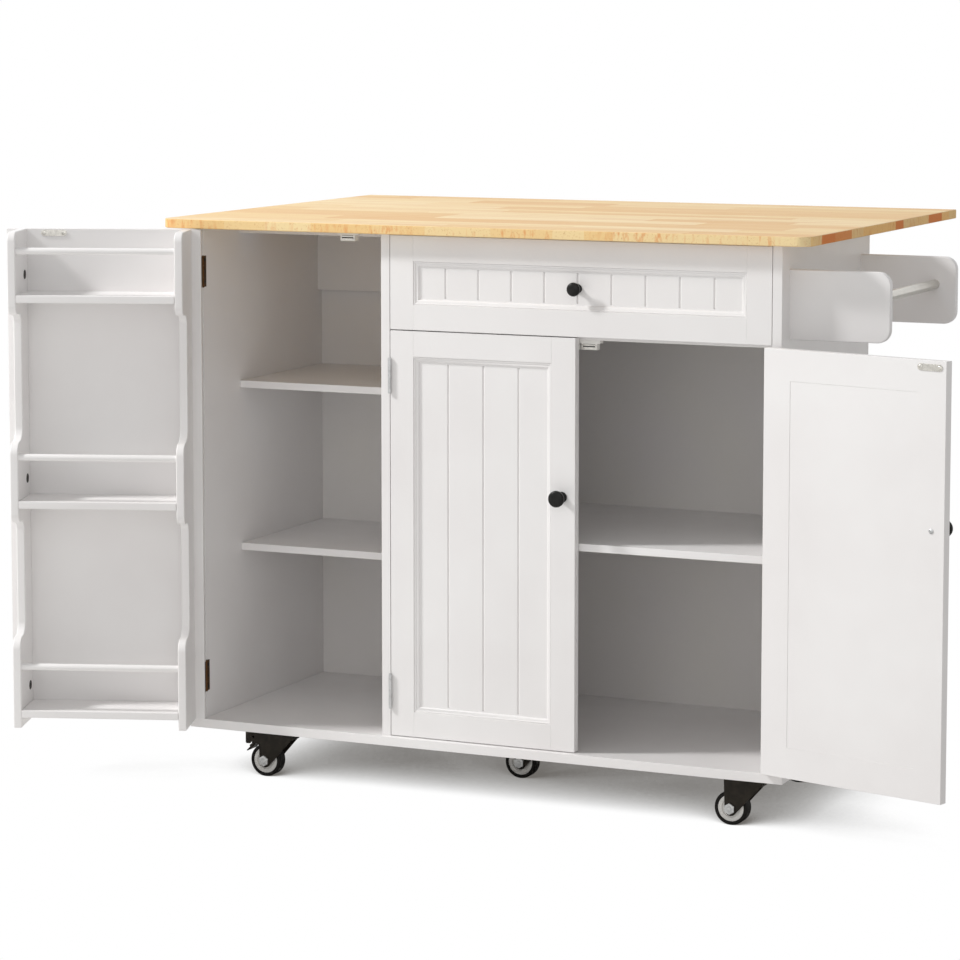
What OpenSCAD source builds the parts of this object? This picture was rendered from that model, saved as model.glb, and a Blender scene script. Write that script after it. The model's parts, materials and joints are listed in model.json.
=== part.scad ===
// Kitchen cart: a white cabinet on five swivel casters, with a wooden worktop
// and its drop leaf, a full-height door that carries a spice rack, a pair of
// panelled doors, a drawer and a towel rail.
// X runs to the right along the front, Y runs from the front to the back and
// Z runs up from the floor. The doors are drawn open, as they stand in use.

/* [Worktop] */
// Height of the upper face above the floor
total_h = 914; // [890:1:960]
// Thickness of the worktop and of its leaf
top_t = 15; // [12:0.5:22]
// Overhang past the front of the cabinet
top_front = 23; // [10:1:60]
// Overhang past each side of the cabinet
top_side = 50; // [20:1:80]
// Radius of the worktop's front corners in plan
top_r = 22; // [5:1:40]
// Overhang of the fixed worktop past the back of the cabinet
top_back = 19.5; // [19.5:0.5:30]
// Depth of the drop leaf
leaf_d = 297.5; // [290:0.5:320]
// Gap between the worktop and the raised leaf
leaf_gap = 1; // [0.5:0.1:2]

/* [Cabinet] */
// Width over the two side panels
cab_w = 998; // [960:1:1100]
// Depth of the side panels
cab_d = 424; // [400:1:480]
// Thickness of the panels and of the base
panel_t = 15; // [12:0.5:18]
// Clear width of the compartment behind the spice door
left_w = 318; // [310:1:340]
// Overhang of the base at the front and at both sides
base_over = 10; // [0:0.5:20]
// Thickness of the back panel
back_t = 5; // [3:0.5:8]
// Width of the flat rails under the worktop
rail_w = 60; // [40:1:80]
// Height of the upright rails behind the compartments
rear_rail_h = 130; // [125:1:140]
// Height of the rail between drawer and doors that the doors close against
rail_lap = 4; // [3:0.5:8]

/* [Shelves] */
// Thickness of the shelves
shelf_t = 12; // [9:0.5:18]
// Distance of the left shelves' front edges from the cabinet's front
left_shelf_front = 122; // [115:1:180]
// Height of the upper left shelf's top face
left_upper_z = 640.5; // [560:0.5:700]
// Height of the lower left shelf's top face
left_lower_z = 370; // [300:0.5:450]
// Height of the right shelf's top face
right_shelf_z = 426; // [300:0.5:560]
// Distance of the right shelf's front edge from the cabinet's front
right_shelf_front = 18; // [17:0.5:60]

/* [Doors] */
// Thickness of the doors and of the drawer's front
door_t = 15; // [14:0.5:18]
// Gap under the doors and above the spice door
door_gap = 1; // [0.8:0.1:2]
// Gap beside the doors at their hinges
hinge_gap = 1; // [1:0.1:2]
// Gap where the two panelled doors meet
meet_gap = 2.2; // [1.8:0.1:4]
// Gap between the doors and the drawer's front
front_gap = 1.5; // [1:0.1:3]
// Width of the frame round each panel
stile_w = 40; // [34:0.5:50]
// Width of the moulding inside the frame
mould_w = 11; // [8:0.5:14]
// Spacing of the grooves in the door panels
door_board = 60; // [40:1:80]
// Height of the door knobs
knob_z = 499.5; // [450:0.1:560]
// Angle that the spice door stands open
spice_open = 160.5; // [100:0.5:170]
// Angle that the right door stands open
right_open = 165.1; // [100:0.1:170]

/* [Hinges and catches] */
// Distance of the hinge pins in front of the cabinet
pin_off = 3; // [2.9:0.1:4]
// Radius of the hinge pins
pin_r = 1.2; // [1:0.1:1.3]
// Outer radius of the hinge knuckles
knuckle_r = 2.6; // [2.4:0.1:2.6]
// Running clearance of pins, axles and pivots
run = 0.05; // [0.03:0.01:0.09]
// Length of the spice door's hinges
spice_hinge_h = 50; // [40:1:70]
// Length of the panelled doors' hinges
door_hinge_h = 55; // [40:1:70]
// Height of a catch
catch_h = 15; // [12:0.5:16]
// Radius of the door knobs' heads
knob_r = 13; // [9:0.5:14]
// How far the door knobs stand out
knob_out = 28; // [20:0.5:32]

/* [Drawer] */
// Height of the drawer's front
drawer_h = 148.5; // [145:0.5:170]
// Spacing of the grooves in the drawer's panel
drawer_board = 55.8; // [40:0.1:80]
// Radius of the drawer's smaller knob
drawer_knob_r = 10.8; // [8:0.1:14]
// How far the drawer's knob stands out
drawer_knob_out = 23; // [18:0.5:30]
// Height of the drawer's sides
drawer_side_h = 105; // [80:1:110]
// Room between the drawer and the rails behind it
drawer_room = 19; // [13:1:60]
// Thickness of the drawer's sides and back
drawer_t = 12; // [9:0.5:15]
// Thickness of the drawer's bottom
drawer_bottom_t = 5; // [3:0.5:6]
// How much shorter than the drawer its slides are
slide_less = 20; // [10:1:80]
// Space for a slide on each side of the drawer
slide_w = 13; // [12:0.5:16]

/* [Spice rack] */
// Depth of the rack behind the door
rack_d = 90; // [60:1:92]
// Thickness of the rack's side boards
rack_t = 13; // [9:0.5:16]
// Distance of the rack from the hinge edge of the door
rack_in = 14.8; // [12:0.1:30]
// Width over the rack's side boards
rack_w = 280.6; // [240:0.1:282]
// Height of the lowest rack shelf above the door's lower edge
rack_shelf_z = 29; // [20:1:50]
// Height of the bay above the top rack shelf
rack_top_bay = 100.5; // [96:0.5:112]
// Share of the way from the lowest to the top shelf at which the middle one lies
rack_mid = 0.507; // [0.49:0.001:0.53]
// Thickness of the rack's shelves
rack_shelf_t = 12; // [9:0.5:15]
// Height of the guard rails above their shelves
rail_up = 70; // [40:1:78]
// Radius of the guard rails
rail_r = 5.5; // [3:0.5:7]

/* [Towel rail] */
// How far the towel brackets stand out
towel_out = 157; // [120:1:200]
// Height of the brackets
towel_h = 106; // [80:1:130]
// Distance of the brackets below the worktop
towel_drop = 38; // [20:1:90]
// Thickness of the brackets
towel_t = 12; // [10:0.5:16]
// Distance of each bracket from the cabinet's front and back
towel_in = 34; // [20:1:80]
// Radius of the rod
towel_rod_r = 8; // [6:0.5:12]
// Distance of the rod's centre from the brackets' outer edges
towel_rod_in = 35; // [22:0.5:60]
// Height of the rod's centre above the brackets' lower edges
towel_rod_up = 62; // [30:0.5:70]

/* [Casters] */
// Height of the casters, from the floor to the base
caster_h = 84; // [80:0.5:95]
// Radius of the wheels
wheel_r = 26.8; // [24.4:0.2:27]
// Width of the wheels
wheel_w = 22; // [16:0.5:26]
// Radius of the wheel hubs
hub_r = 20.9; // [15:0.1:21.4]
// Distance of the wheel's axle behind the swivel
trail = 21; // [15:0.5:24]
// Length and width of the mounting plates
plate_l = 62; // [60:1:80]
// Distance of the left swivels from the left side of the cabinet
caster_in_left = 120; // [60:1:160]
// Distance of the right swivels from the right side of the cabinet
caster_in_right = 70; // [60:1:160]
// Distance of the middle swivel to the right of the cabinet's middle
caster_mid = 7; // [-30:1:30]
// Distance of the outer swivels from the cabinet's front and back
caster_in_y = 54; // [40:1:90]

/* [Leaf support] */
// Distance of the two supports from the cabinet's sides
brace_in = 200; // [160:1:300]
// Length of the braces between pivot and roller
brace_l = 175; // [160:1:185]
// Height of the brace pivots below the leaf's hinge line
brace_drop = 100; // [90:1:105]
// Distance of the pivots behind the cabinet's back
brace_out = 12; // [11:0.5:13]
// Width of the tracks under the leaf
track_w = 24; // [22:1:30]
// Depth of the tracks
track_h = 12; // [10:0.5:12]
// Distance of the tracks from the leaf's hinge line
track_in = 60; // [50:1:80]
// Length of the tracks
track_l = 225; // [220:1:230]

/* [Hidden] */
$fn = 48;
// Small overshoot that keeps cuts clean
over = 1;
// Gap between pieces that move past each other
slip = 0.3;
// Gap between separate pieces that are pressed together
seat = 0.03;

// Levels and lines of the cabinet
base_top = caster_h + panel_t;
top_z = total_h - top_t;
div_l = panel_t + left_w;
div_r = div_l + panel_t;
in_r = cab_w - panel_t;
back_y = cab_d - back_t;
rear_rail_y = back_y - panel_t;

// Doors: the two panelled ones share the right opening, the spice door is as wide
door_w = (in_r - div_r - 2*hinge_gap - meet_gap)/2;
spice_w = left_w - hinge_gap - 1.6;
drawer_z0 = top_z - 2 - drawer_h;
door_z0 = base_top + door_gap;
door_top = drawer_z0 - front_gap;
mid_rail_z = door_top - rail_lap;
spice_top = top_z - door_gap;
spice_pin_x = panel_t + hinge_gap;
middle_pin_x = div_r + hinge_gap;
right_pin_x = in_r - hinge_gap;
door_back = pin_off + door_t;
panel_set = 6;
panel_lap = 4;
groove_w = 2.8;
knob_u = door_w - 0.55*stile_w;
spice_knob_u = spice_w - 13.4;
hinge_t = 0.8;
hinge_reach = 9;
hinge_in = 44;

// Drawer
drawer_x0 = div_r + hinge_gap;
drawer_w = in_r - div_r - 2*hinge_gap;
drawer_l = rear_rail_y - door_t - drawer_room;
slide_l = drawer_l - slide_less;
box_z0 = mid_rail_z + panel_t + 5;
slide_z = box_z0 + drawer_side_h/2;

// Spice rack
rack_x0 = rack_in;
rack_x1 = rack_in + rack_w;
rack_front = door_back + rack_d;
rack_z0 = door_z0 + rack_shelf_z;
rack_z2 = spice_top - rack_top_bay;
rack_levels = [rack_z0, rack_z0 + rack_mid*(rack_z2 - rack_z0), rack_z2];
scallop_r = 20;
scallop_low_r = 15;
rack_corner_r = 15;
cam_r = 7.5;
cam_in = 21;
cam_up = 28;

// Leaf, its hinge line and its supports
leaf_y0 = cab_d + top_back + leaf_gap;
leaf_axis_y = cab_d + top_back + leaf_gap/2;
leaf_axis_z = top_z - 2.5;
leaf_hinge_l = 60;
leaf_pin_r = 0.9;
leaf_knuckle_r = 2.1;
track_t = 2;
roller_r = 4;
brace_w = 6;
brace_h = 8;
brace_y = cab_d + brace_out;
brace_z = leaf_axis_z - brace_drop;
roller_z = top_z - track_t - slip - roller_r;
brace_angle = asin((roller_z - brace_z)/brace_l);
brace_xs = [brace_in, cab_w - brace_in];

// Casters: [x, y] of the five swivels
caster_xl = caster_in_left;
caster_xr = cab_w - caster_in_right;
caster_y0 = caster_in_y;
caster_y1 = cab_d - caster_in_y;
caster_xm = cab_w/2 + caster_mid;
caster_places = [[caster_xl, caster_y0], [caster_xr, caster_y0], [caster_xl, caster_y1],
    [caster_xr, caster_y1], [caster_xm, cab_d/2]];
plate_t = 3;
race_r = 20;
king_r = 5;
axle_r = 4;
leg_t = 2.5;
leg_y = wheel_w/2 + 1.5;
crown_z = wheel_r*2 + 10.4;

// The origin is under the middle of the whole cart as it stands
x_low = spice_pin_x + (spice_knob_u + knob_r)*cos(spice_open) - (knob_out - pin_off)*sin(spice_open);
x_high = right_pin_x - door_w*cos(right_open) - pin_off*sin(right_open);
y_low = -pin_off - rack_x1*sin(spice_open) + rack_front*cos(spice_open);
y_high = leaf_y0 + leaf_d;
origin_x = (x_low + x_high)/2;
origin_y = (y_low + y_high)/2;

// Colours
white = [0.93, 0.92, 0.91];
wood = [0.93, 0.76, 0.52];
steel = [0.72, 0.73, 0.74];
bronze = [0.32, 0.24, 0.17];
black = [0.07, 0.07, 0.07];
grey = [0.75, 0.75, 0.73];

// Moves a piece from the cabinet's left front corner to the cart's origin
module at_origin() {
    translate([-origin_x, -origin_y, 0]) children();
}

// A box between two values on each axis
module block(x, y, z) {
    translate([x[0], y[0], z[0]]) cube([x[1] - x[0], y[1] - y[0], z[1] - z[0]]);
}

// A cylinder along Y from y0 to y1
module rod_y(r, y0, y1) {
    translate([0, y1, 0]) rotate([90, 0, 0]) cylinder(r = r, h = y1 - y0);
}

// A cylinder along X from x0 to x1
module rod_x(r, x0, x1) {
    translate([x0, 0, 0]) rotate([0, 90, 0]) cylinder(r = r, h = x1 - x0);
}

// Places a door: X runs from its pin along the leaf, Y goes into the cabinet
module hung_left(pin_x, angle) {
    translate([pin_x, -pin_off, 0]) rotate([0, 0, -angle]) children();
}

module hung_right(pin_x, angle) {
    translate([pin_x, -pin_off, 0]) rotate([0, 0, angle]) mirror([1, 0, 0]) children();
}

// Points of an arc about a centre, from angle a0 to angle a1
function arc(c, r, a0, a1, n = 8) =
    [for (i = [0:n]) [c[0] + r*cos(a0 + (a1 - a0)*i/n), c[1] + r*sin(a0 + (a1 - a0)*i/n)]];

// Worktop and leaf

module worktop_outline(w, d, r) {
    translate([0, r]) square([w, d - r]);
    translate([r, 0]) square([w - 2*r, r]);
    for (x = [r, w - r]) {
        translate([x, r]) circle(r = r);
    }
}

module worktop() {
    color(wood) at_origin() translate([-top_side, -top_front, top_z])
        linear_extrude(top_t)
            worktop_outline(cab_w + 2*top_side, top_front + cab_d + top_back, top_r);
}

module drop_leaf() {
    color(wood) at_origin()
        block([-top_side, cab_w + top_side], [leaf_y0, leaf_y0 + leaf_d], [top_z, total_h]);
}

// A knuckle along X about the origin, bored for its pin
module knuckle_x(r, pin, x0, x1) {
    difference() {
        rod_x(r, x0, x1);
        rod_x(pin + run, x0 - over, x1 + over);
    }
}

leaf_hinge_in = 120;
leaf_hinge_xs = [leaf_hinge_in, cab_w/2, cab_w - leaf_hinge_in];
leaf_hinge_reach = 33;
leaf_plate_t = 1.3;

module leaf_hinge_fixed() {
    plate_z = top_z - leaf_plate_t - leaf_axis_z;
    third = leaf_hinge_l/3;
    color(steel) at_origin() for (x = leaf_hinge_xs) {
        translate([x - leaf_hinge_l/2, leaf_axis_y, leaf_axis_z]) {
            for (x0 = [0, 2*third]) {
                knuckle_x(leaf_knuckle_r, leaf_pin_r, x0, x0 + third);
                block([x0, x0 + third], [-5, -1.1], [plate_z, plate_z + leaf_plate_t]);
            }
            block([0, leaf_hinge_l], [-top_back + 1, -4], [plate_z, plate_z + leaf_plate_t]);
            rod_x(leaf_pin_r, -seat, leaf_hinge_l + seat);
            for (e = [-0.8 - seat, leaf_hinge_l + seat]) {
                rod_x(leaf_pin_r*1.8, e, e + 0.8);
            }
        }
    }
}

module leaf_hinge_moving() {
    plate_z = top_z - leaf_plate_t - leaf_axis_z;
    third = leaf_hinge_l/3;
    color(steel) at_origin() for (x = leaf_hinge_xs) {
        translate([x - leaf_hinge_l/2, leaf_axis_y, leaf_axis_z]) {
            knuckle_x(leaf_knuckle_r, leaf_pin_r, third + slip, 2*third - slip);
            block([third + slip, 2*third - slip], [1.1, 5], [plate_z, plate_z + leaf_plate_t]);
            block([0, leaf_hinge_l], [4, leaf_hinge_reach], [plate_z, plate_z + leaf_plate_t]);
        }
    }
}

// A channel under the leaf in which each brace's roller runs
module leaf_tracks() {
    y0 = leaf_axis_y + track_in;
    color(steel) at_origin() for (x = brace_xs) {
        difference() {
            block([x - track_w/2, x + track_w/2], [y0, y0 + track_l], [top_z - track_h, top_z]);
            block([x - track_w/2 + track_t, x + track_w/2 - track_t],
                [y0 - over, y0 + track_l + over], [top_z - track_h - over, top_z - track_t]);
        }
    }
}

module leaf_braces() {
    color(steel) at_origin() for (x = brace_xs) {
        translate([x, brace_y, brace_z]) rotate([brace_angle, 0, 0]) {
            difference() {
                union() {
                    block([-brace_w/2, brace_w/2], [0, brace_l - 2], [-brace_h/2, brace_h/2]);
                    rod_x(brace_h/2 + 1, -brace_w/2, brace_w/2);
                }
                rod_x(2 + run, -brace_w, brace_w);
            }
            translate([0, brace_l, 0]) rod_x(roller_r, -8, 8);
        }
    }
}

// A base plate with two cheeks and the pin on which each brace turns
bracket_w = 30;
bracket_h = 40;

module brace_brackets() {
    cheek = 2;
    cheek_x = brace_w/2 + slip;
    color(steel) at_origin() for (x = brace_xs) {
        translate([x, 0, brace_z]) {
            block([-bracket_w/2, bracket_w/2], [cab_d, cab_d + 2], [-bracket_h/2, bracket_h/2]);
            for (s = [0, 1]) mirror([s, 0, 0]) difference() {
                block([cheek_x, cheek_x + cheek], [cab_d + 2, brace_y + 5], [-6, 6]);
                translate([0, brace_y, 0]) rod_x(2 + run, 0, 20);
            }
            translate([0, brace_y, 0]) {
                rod_x(2, -cheek_x - cheek - seat, cheek_x + cheek + seat);
                for (s = [0, 1]) mirror([s, 0, 0])
                    rod_x(3, cheek_x + cheek + seat, cheek_x + cheek + 1.2);
            }
        }
    }
}

// Carcass

// A cut for the peg of each shelf pin, where a panel has them
module pin_bores(x, dir, levels, ys) {
    for (z = levels, y = ys) {
        translate([x, y, z - shelf_t - 6]) rotate([0, dir*90, 0])
            translate([0, 0, -over]) cylinder(r = 2.5 + run, h = 9.3 + over);
    }
}

pin_in = 90;
left_pin_ys = [left_shelf_front + pin_in, back_y - 40];
right_pin_ys = [right_shelf_front + pin_in, back_y - 40];
left_levels = [left_upper_z, left_lower_z];

module left_side_panel() {
    color(white) at_origin() difference() {
        block([0, panel_t], [0, cab_d], [base_top, top_z]);
        pin_bores(panel_t, -1, left_levels, left_pin_ys);
    }
}

module right_side_panel() {
    color(white) at_origin() difference() {
        block([in_r, cab_w], [0, cab_d], [base_top, top_z]);
        pin_bores(in_r, 1, [right_shelf_z], right_pin_ys);
    }
}

module divider() {
    mid = (div_l + div_r)/2;
    color(white) at_origin() difference() {
        block([div_l, div_r], [0, back_y], [base_top, top_z]);
        // The bores stop short of each other inside the divider
        for (z = left_levels, y = left_pin_ys)
            translate([div_l - over, y, z - shelf_t - 6]) rod_x(2.5 + run, 0, 6.8 + over);
        for (y = right_pin_ys)
            translate([mid + 0.7, y, right_shelf_z - shelf_t - 6]) rod_x(2.5 + run, 0, panel_t/2 + over);
    }
}

module back_panel() {
    color(white) at_origin() block([panel_t, in_r], [back_y, cab_d], [base_top, top_z]);
}

module base_panel() {
    color(white) at_origin() difference() {
        block([-base_over, cab_w + base_over], [-base_over, cab_d], [caster_h, base_top]);
        for (c = caster_places) translate([c[0], c[1], 0]) screw_places()
            translate([0, 0, caster_h - over]) cylinder(r = 2.2 + run, h = 11 + over);
    }
}

module top_rails() {
    z = [top_z - panel_t, top_z];
    color(white) at_origin() {
        block([panel_t, div_l], [left_shelf_front, left_shelf_front + rail_w], z);
        block([div_r, in_r], [door_t + 2, door_t + 2 + rail_w], z);
    }
}

module rear_rails() {
    z = [top_z - rear_rail_h, top_z];
    color(white) at_origin() {
        block([panel_t, div_l], [rear_rail_y, back_y], z);
        block([div_r, in_r], [rear_rail_y, back_y], z);
    }
}

module middle_rail() {
    color(white) at_origin()
        block([div_r, in_r], [door_t + 1.5, door_t + 1.5 + rail_w], [mid_rail_z, mid_rail_z + panel_t]);
}

// Shelves and the pins that carry them

module shelf(x0, x1, front, z) {
    color(white) at_origin() block([x0 + 0.5, x1 - 0.5], [front, back_y - 0.5], [z - shelf_t, z]);
}

module left_shelves() {
    for (z = left_levels) shelf(panel_t, div_l, left_shelf_front, z);
}

module right_shelf() { shelf(div_r, in_r, right_shelf_front, right_shelf_z); }

// A pin against a wall on its left: ledge, upright plate and peg
module shelf_pin(peg) {
    block([0, 9], [-4, 4], [-1.5, 0]);
    block([0, 1.5], [-4, 4], [-9.5, -1.5]);
    translate([0, 0, -6]) rod_x(2.5, -peg, 1);
}

module shelf_pins() {
    color(steel) at_origin() {
        for (z = left_levels, y = left_pin_ys) {
            translate([panel_t, y, z - shelf_t]) shelf_pin(8);
            translate([div_l, y, z - shelf_t]) mirror([1, 0, 0]) shelf_pin(6);
        }
        for (y = right_pin_ys) {
            translate([div_r, y, right_shelf_z - shelf_t]) shelf_pin(6);
            translate([in_r, y, right_shelf_z - shelf_t]) mirror([1, 0, 0]) shelf_pin(8);
        }
    }
}

// Hinges of the doors

function hinge_levels(z0, z1, h) = [z0 + hinge_in, z1 - hinge_in - h];

module knuckle_z(z0, z1) {
    difference() {
        translate([0, 0, z0]) cylinder(r = knuckle_r, h = z1 - z0);
        translate([0, 0, z0 - over]) cylinder(r = pin_r + run, h = z1 - z0 + 2*over);
    }
}

// The half on the panel, with the pin and its two heads
module hinge_fixed(h) {
    for (z = [[0, 0.3*h], [0.7*h, h]]) {
        knuckle_z(z[0], z[1]);
        block([-hinge_gap, -hinge_gap + hinge_t], [pin_r + run + 0.3, 5], z);
    }
    block([-hinge_gap, -hinge_gap + hinge_t], [pin_off + 0.6, pin_off + hinge_reach], [0, h]);
    translate([0, 0, -seat]) cylinder(r = pin_r, h = h + 2*seat);
    for (z = [-0.8 - seat, h + seat]) {
        translate([0, 0, z]) cylinder(r = 1.9, h = 0.8);
    }
}

// The half let into the edge of the door
module hinge_moving(h) {
    z = [0.3*h + slip, 0.7*h - slip];
    knuckle_z(z[0], z[1]);
    block([0, hinge_t], [pin_r + run + 0.3, 5], z);
    block([0, hinge_t], [pin_off + 0.6, pin_off + hinge_reach], [0, h]);
}

module hinge_recess(h) {
    block([-over, hinge_t], [pin_off - over, pin_off + hinge_reach + 0.2], [-0.2, h + 0.2]);
}

module spice_hinge_fixed() {
    color(bronze) at_origin() hung_left(spice_pin_x, 0)
        for (z = hinge_levels(door_z0, spice_top, spice_hinge_h))
            translate([0, 0, z]) hinge_fixed(spice_hinge_h);
}

module spice_hinge_moving() {
    color(bronze) at_origin() hung_left(spice_pin_x, spice_open)
        for (z = hinge_levels(door_z0, spice_top, spice_hinge_h))
            translate([0, 0, z]) hinge_moving(spice_hinge_h);
}

module middle_hinge_fixed() {
    color(steel) at_origin() hung_left(middle_pin_x, 0)
        for (z = hinge_levels(door_z0, door_top, door_hinge_h))
            translate([0, 0, z]) hinge_fixed(door_hinge_h);
}

module middle_hinge_moving() {
    color(steel) at_origin() hung_left(middle_pin_x, 0)
        for (z = hinge_levels(door_z0, door_top, door_hinge_h))
            translate([0, 0, z]) hinge_moving(door_hinge_h);
}

module right_hinge_fixed() {
    color(steel) at_origin() hung_right(right_pin_x, 0)
        for (z = hinge_levels(door_z0, door_top, door_hinge_h))
            translate([0, 0, z]) hinge_fixed(door_hinge_h);
}

module right_hinge_moving() {
    color(steel) at_origin() hung_right(right_pin_x, right_open)
        for (z = hinge_levels(door_z0, door_top, door_hinge_h))
            translate([0, 0, z]) hinge_moving(door_hinge_h);
}

// Spice door and its rack

// A field with grooves is routed into the outer face of the spice door
module spice_field() {
    z = [door_z0, spice_top];
    inset = stile_w + mould_w/2;
    field = 4;
    block([stile_w, spice_w - stile_w], [0, pin_off + 2], [z[0] + stile_w, z[1] - stile_w]);
    frame_cut(spice_w, inset, [0, pin_off + field], z[0], z[1]);
    grooves(spice_w, pin_off + field, [z[0] + inset, z[1] - inset], door_board);
}

module spice_door() {
    color(white) at_origin() hung_left(spice_pin_x, spice_open) difference() {
        block([0, spice_w], [pin_off, door_back], [door_z0, spice_top]);
        spice_field();
        for (z = hinge_levels(door_z0, spice_top, spice_hinge_h))
            translate([0, 0, z]) hinge_recess(spice_hinge_h);
        translate([spice_knob_u, 0, knob_z]) rod_y(2.2, 0, door_back + over);
    }
}

// Outline of a rack board: the front edge steps back between the shelves
function rack_step_in(z) = concat(
    arc([rack_d - scallop_r, z], scallop_r, 0, 90),
    arc([rack_d - scallop_r, z + 2*scallop_r], scallop_r, 270, 180));
function rack_step_out(z) = concat(
    arc([rack_d - 2*scallop_r + scallop_low_r, z - 2*scallop_low_r], scallop_low_r, 180, 90),
    arc([rack_d - scallop_low_r, z], scallop_low_r, 270, 360));
rack_points = concat(
    [[0, door_z0], [rack_d, door_z0]],
    rack_step_in(rack_levels[0] + rail_up + 28),
    rack_step_out(rack_levels[1] - 21),
    rack_step_in(rack_levels[1] + rail_up + 4),
    rack_step_out(rack_levels[2] - 17),
    arc([rack_d - rack_corner_r, spice_top - rack_corner_r], rack_corner_r, 0, 90),
    [[0, spice_top]]);

module rack_side() {
    rotate([90, 0, 90]) linear_extrude(rack_t) polygon(rack_points);
}

function rack_rail_y() = rack_front - rail_r - 3;

module rack_sides() {
    color(white) at_origin() hung_left(spice_pin_x, spice_open) difference() {
        for (x = [rack_x0, rack_x1 - rack_t])
            translate([x, door_back, 0]) rack_side();
        for (z = rack_levels) {
            translate([rack_x0 + rack_t - 6.5, rack_rail_y(), z + rail_up])
                rod_x(rail_r + run, 0, rack_w - 2*rack_t + 13);
            translate([rack_x0 + rack_t - 8.5, door_back + cam_in, z + cam_up])
                rod_x(2 + run, 0, rack_w - 2*rack_t + 17);
        }
    }
}

module rack_shelves() {
    color(white) at_origin() hung_left(spice_pin_x, spice_open)
        for (z = rack_levels)
            block([rack_x0 + rack_t, rack_x1 - rack_t], [door_back, rack_front], [z - rack_shelf_t, z]);
}

module rack_rails() {
    color(white) at_origin() hung_left(spice_pin_x, spice_open)
        for (z = rack_levels)
            translate([0, rack_rail_y(), z + rail_up])
                rod_x(rail_r, rack_x0 + rack_t - 6, rack_x1 - rack_t + 6);
}

// Dark cam fittings on the inside of the rack's boards, each with its dowel
module rack_bolts() {
    color(black) at_origin() hung_left(spice_pin_x, spice_open)
        for (z = rack_levels) translate([0, door_back + cam_in, z + cam_up]) {
            rod_x(2, rack_x0 + rack_t - 8, rack_x0 + rack_t);
            rod_x(cam_r, rack_x0 + rack_t, rack_x0 + rack_t + 0.8);
            rod_x(2, rack_x1 - rack_t, rack_x1 - rack_t + 8);
            rod_x(cam_r, rack_x1 - rack_t - 0.8, rack_x1 - rack_t);
        }
}

// Panelled doors and the drawer's front

// A frame whose inner edge steps down to the panel
module panelled_frame(w, y0, z0, z1) {
    front = y0 - over;
    difference() {
        block([0, w], [y0, y0 + door_t], [z0, z1]);
        block([stile_w, w - stile_w], [front, y0 + 2], [z0 + stile_w, z1 - stile_w]);
        frame_cut(w, stile_w + mould_w/2, [front, y0 + 4], z0, z1);
        frame_cut(w, stile_w + mould_w, [front, y0 + door_t + over], z0, z1);
        frame_cut(w, stile_w + mould_w - panel_lap, [y0 + panel_set, y0 + door_t + over], z0, z1);
    }
}

module frame_cut(w, inset, y, z0, z1) {
    block([inset, w - inset], y, [z0 + inset, z1 - inset]);
}

// Upright V-grooves in the plane y, spaced from the middle of a door or drawer
module grooves(w, y, z, pitch) {
    count = floor((w/2 - stile_w - mould_w)/pitch);
    for (k = [-count:count])
        translate([w/2 + k*pitch, y, z[0]]) rotate([0, 0, 45])
            translate([-groove_w/2, -groove_w/2, 0]) cube([groove_w, groove_w, z[1] - z[0]]);
}

// A panel behind the frame
module beaded_panel(w, y0, z0, z1, pitch, middle) {
    inset = stile_w + mould_w - panel_lap + slip;
    difference() {
        block([inset, w - inset], [y0 + panel_set, y0 + door_t], [z0 + inset, z1 - inset]);
        grooves(w, y0 + panel_set, [z0, z1], pitch);
        if (middle) {
            translate([w/2, 0, (z0 + z1)/2]) rod_y(2.2, y0 - over, y0 + door_t + over);
        }
    }
}

module hung_frame() {
    difference() {
        panelled_frame(door_w, pin_off, door_z0, door_top);
        for (z = hinge_levels(door_z0, door_top, door_hinge_h))
            translate([0, 0, z]) hinge_recess(door_hinge_h);
        translate([knob_u, 0, knob_z]) rod_y(2.2, 0, door_back + over);
    }
}

module hung_panel() {
    beaded_panel(door_w, pin_off, door_z0, door_top, door_board, false);
}

module middle_door_frame() {
    color(white) at_origin() hung_left(middle_pin_x, 0) hung_frame();
}

module middle_door_panel() {
    color(white) at_origin() hung_left(middle_pin_x, 0) hung_panel();
}

module right_door_frame() {
    color(white) at_origin() hung_right(right_pin_x, right_open) hung_frame();
}

module right_door_panel() {
    color(white) at_origin() hung_right(right_pin_x, right_open) hung_panel();
}

// Knobs, screws, strike plates and catches

// A knob of that radius and reach, its foot on the plane y = 0, and the screw that holds it
module knob(depth, r, out) {
    rotate([90, 0, 0]) difference() {
        rotate_extrude() polygon(concat([[0, 0], [0.66*r, 0], [0.62*r, 1.6], [0.4*r, 0.16*out]],
            [[0.37*r, 0.54*out], [r - 1.5, out - 9], [r, out - 7]],
            arc([r - 4, out - 5], 4, 0, 70, 5), [[0, out]]));
        translate([0, 0, -over]) cylinder(r = 2 + run, h = 10 + over);
    }
    rod_y(2, -9, depth);
    rod_y(4, depth, depth + 2);
}

strike_l = 42;
strike_w = 10;
strike_t = 1.2;

// A plate with round ends and two screw heads, on the plane y = 0
module strike_plate() {
    reach = (strike_l - strike_w)/2;
    rotate([-90, 0, 0]) linear_extrude(strike_t) {
        square([2*reach, strike_w], center = true);
        for (s = [-1, 1]) translate([s*reach, 0]) circle(r = strike_w/2);
    }
    for (s = [-1, 1]) translate([s*reach, 0, 0]) rod_y(2.6, strike_t + seat, strike_t + 0.8);
}

strike_drop = 6;
catch_gap = 0.4;
catch_depth = 13;
catch_core = 25.9;
catch_wing = [5.4, 5];
spice_strike_u = 238;
door_strike_u = 288;
magnet_x = 14.25;
catch_y = door_t + strike_t + 0.8 + catch_gap;

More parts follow.
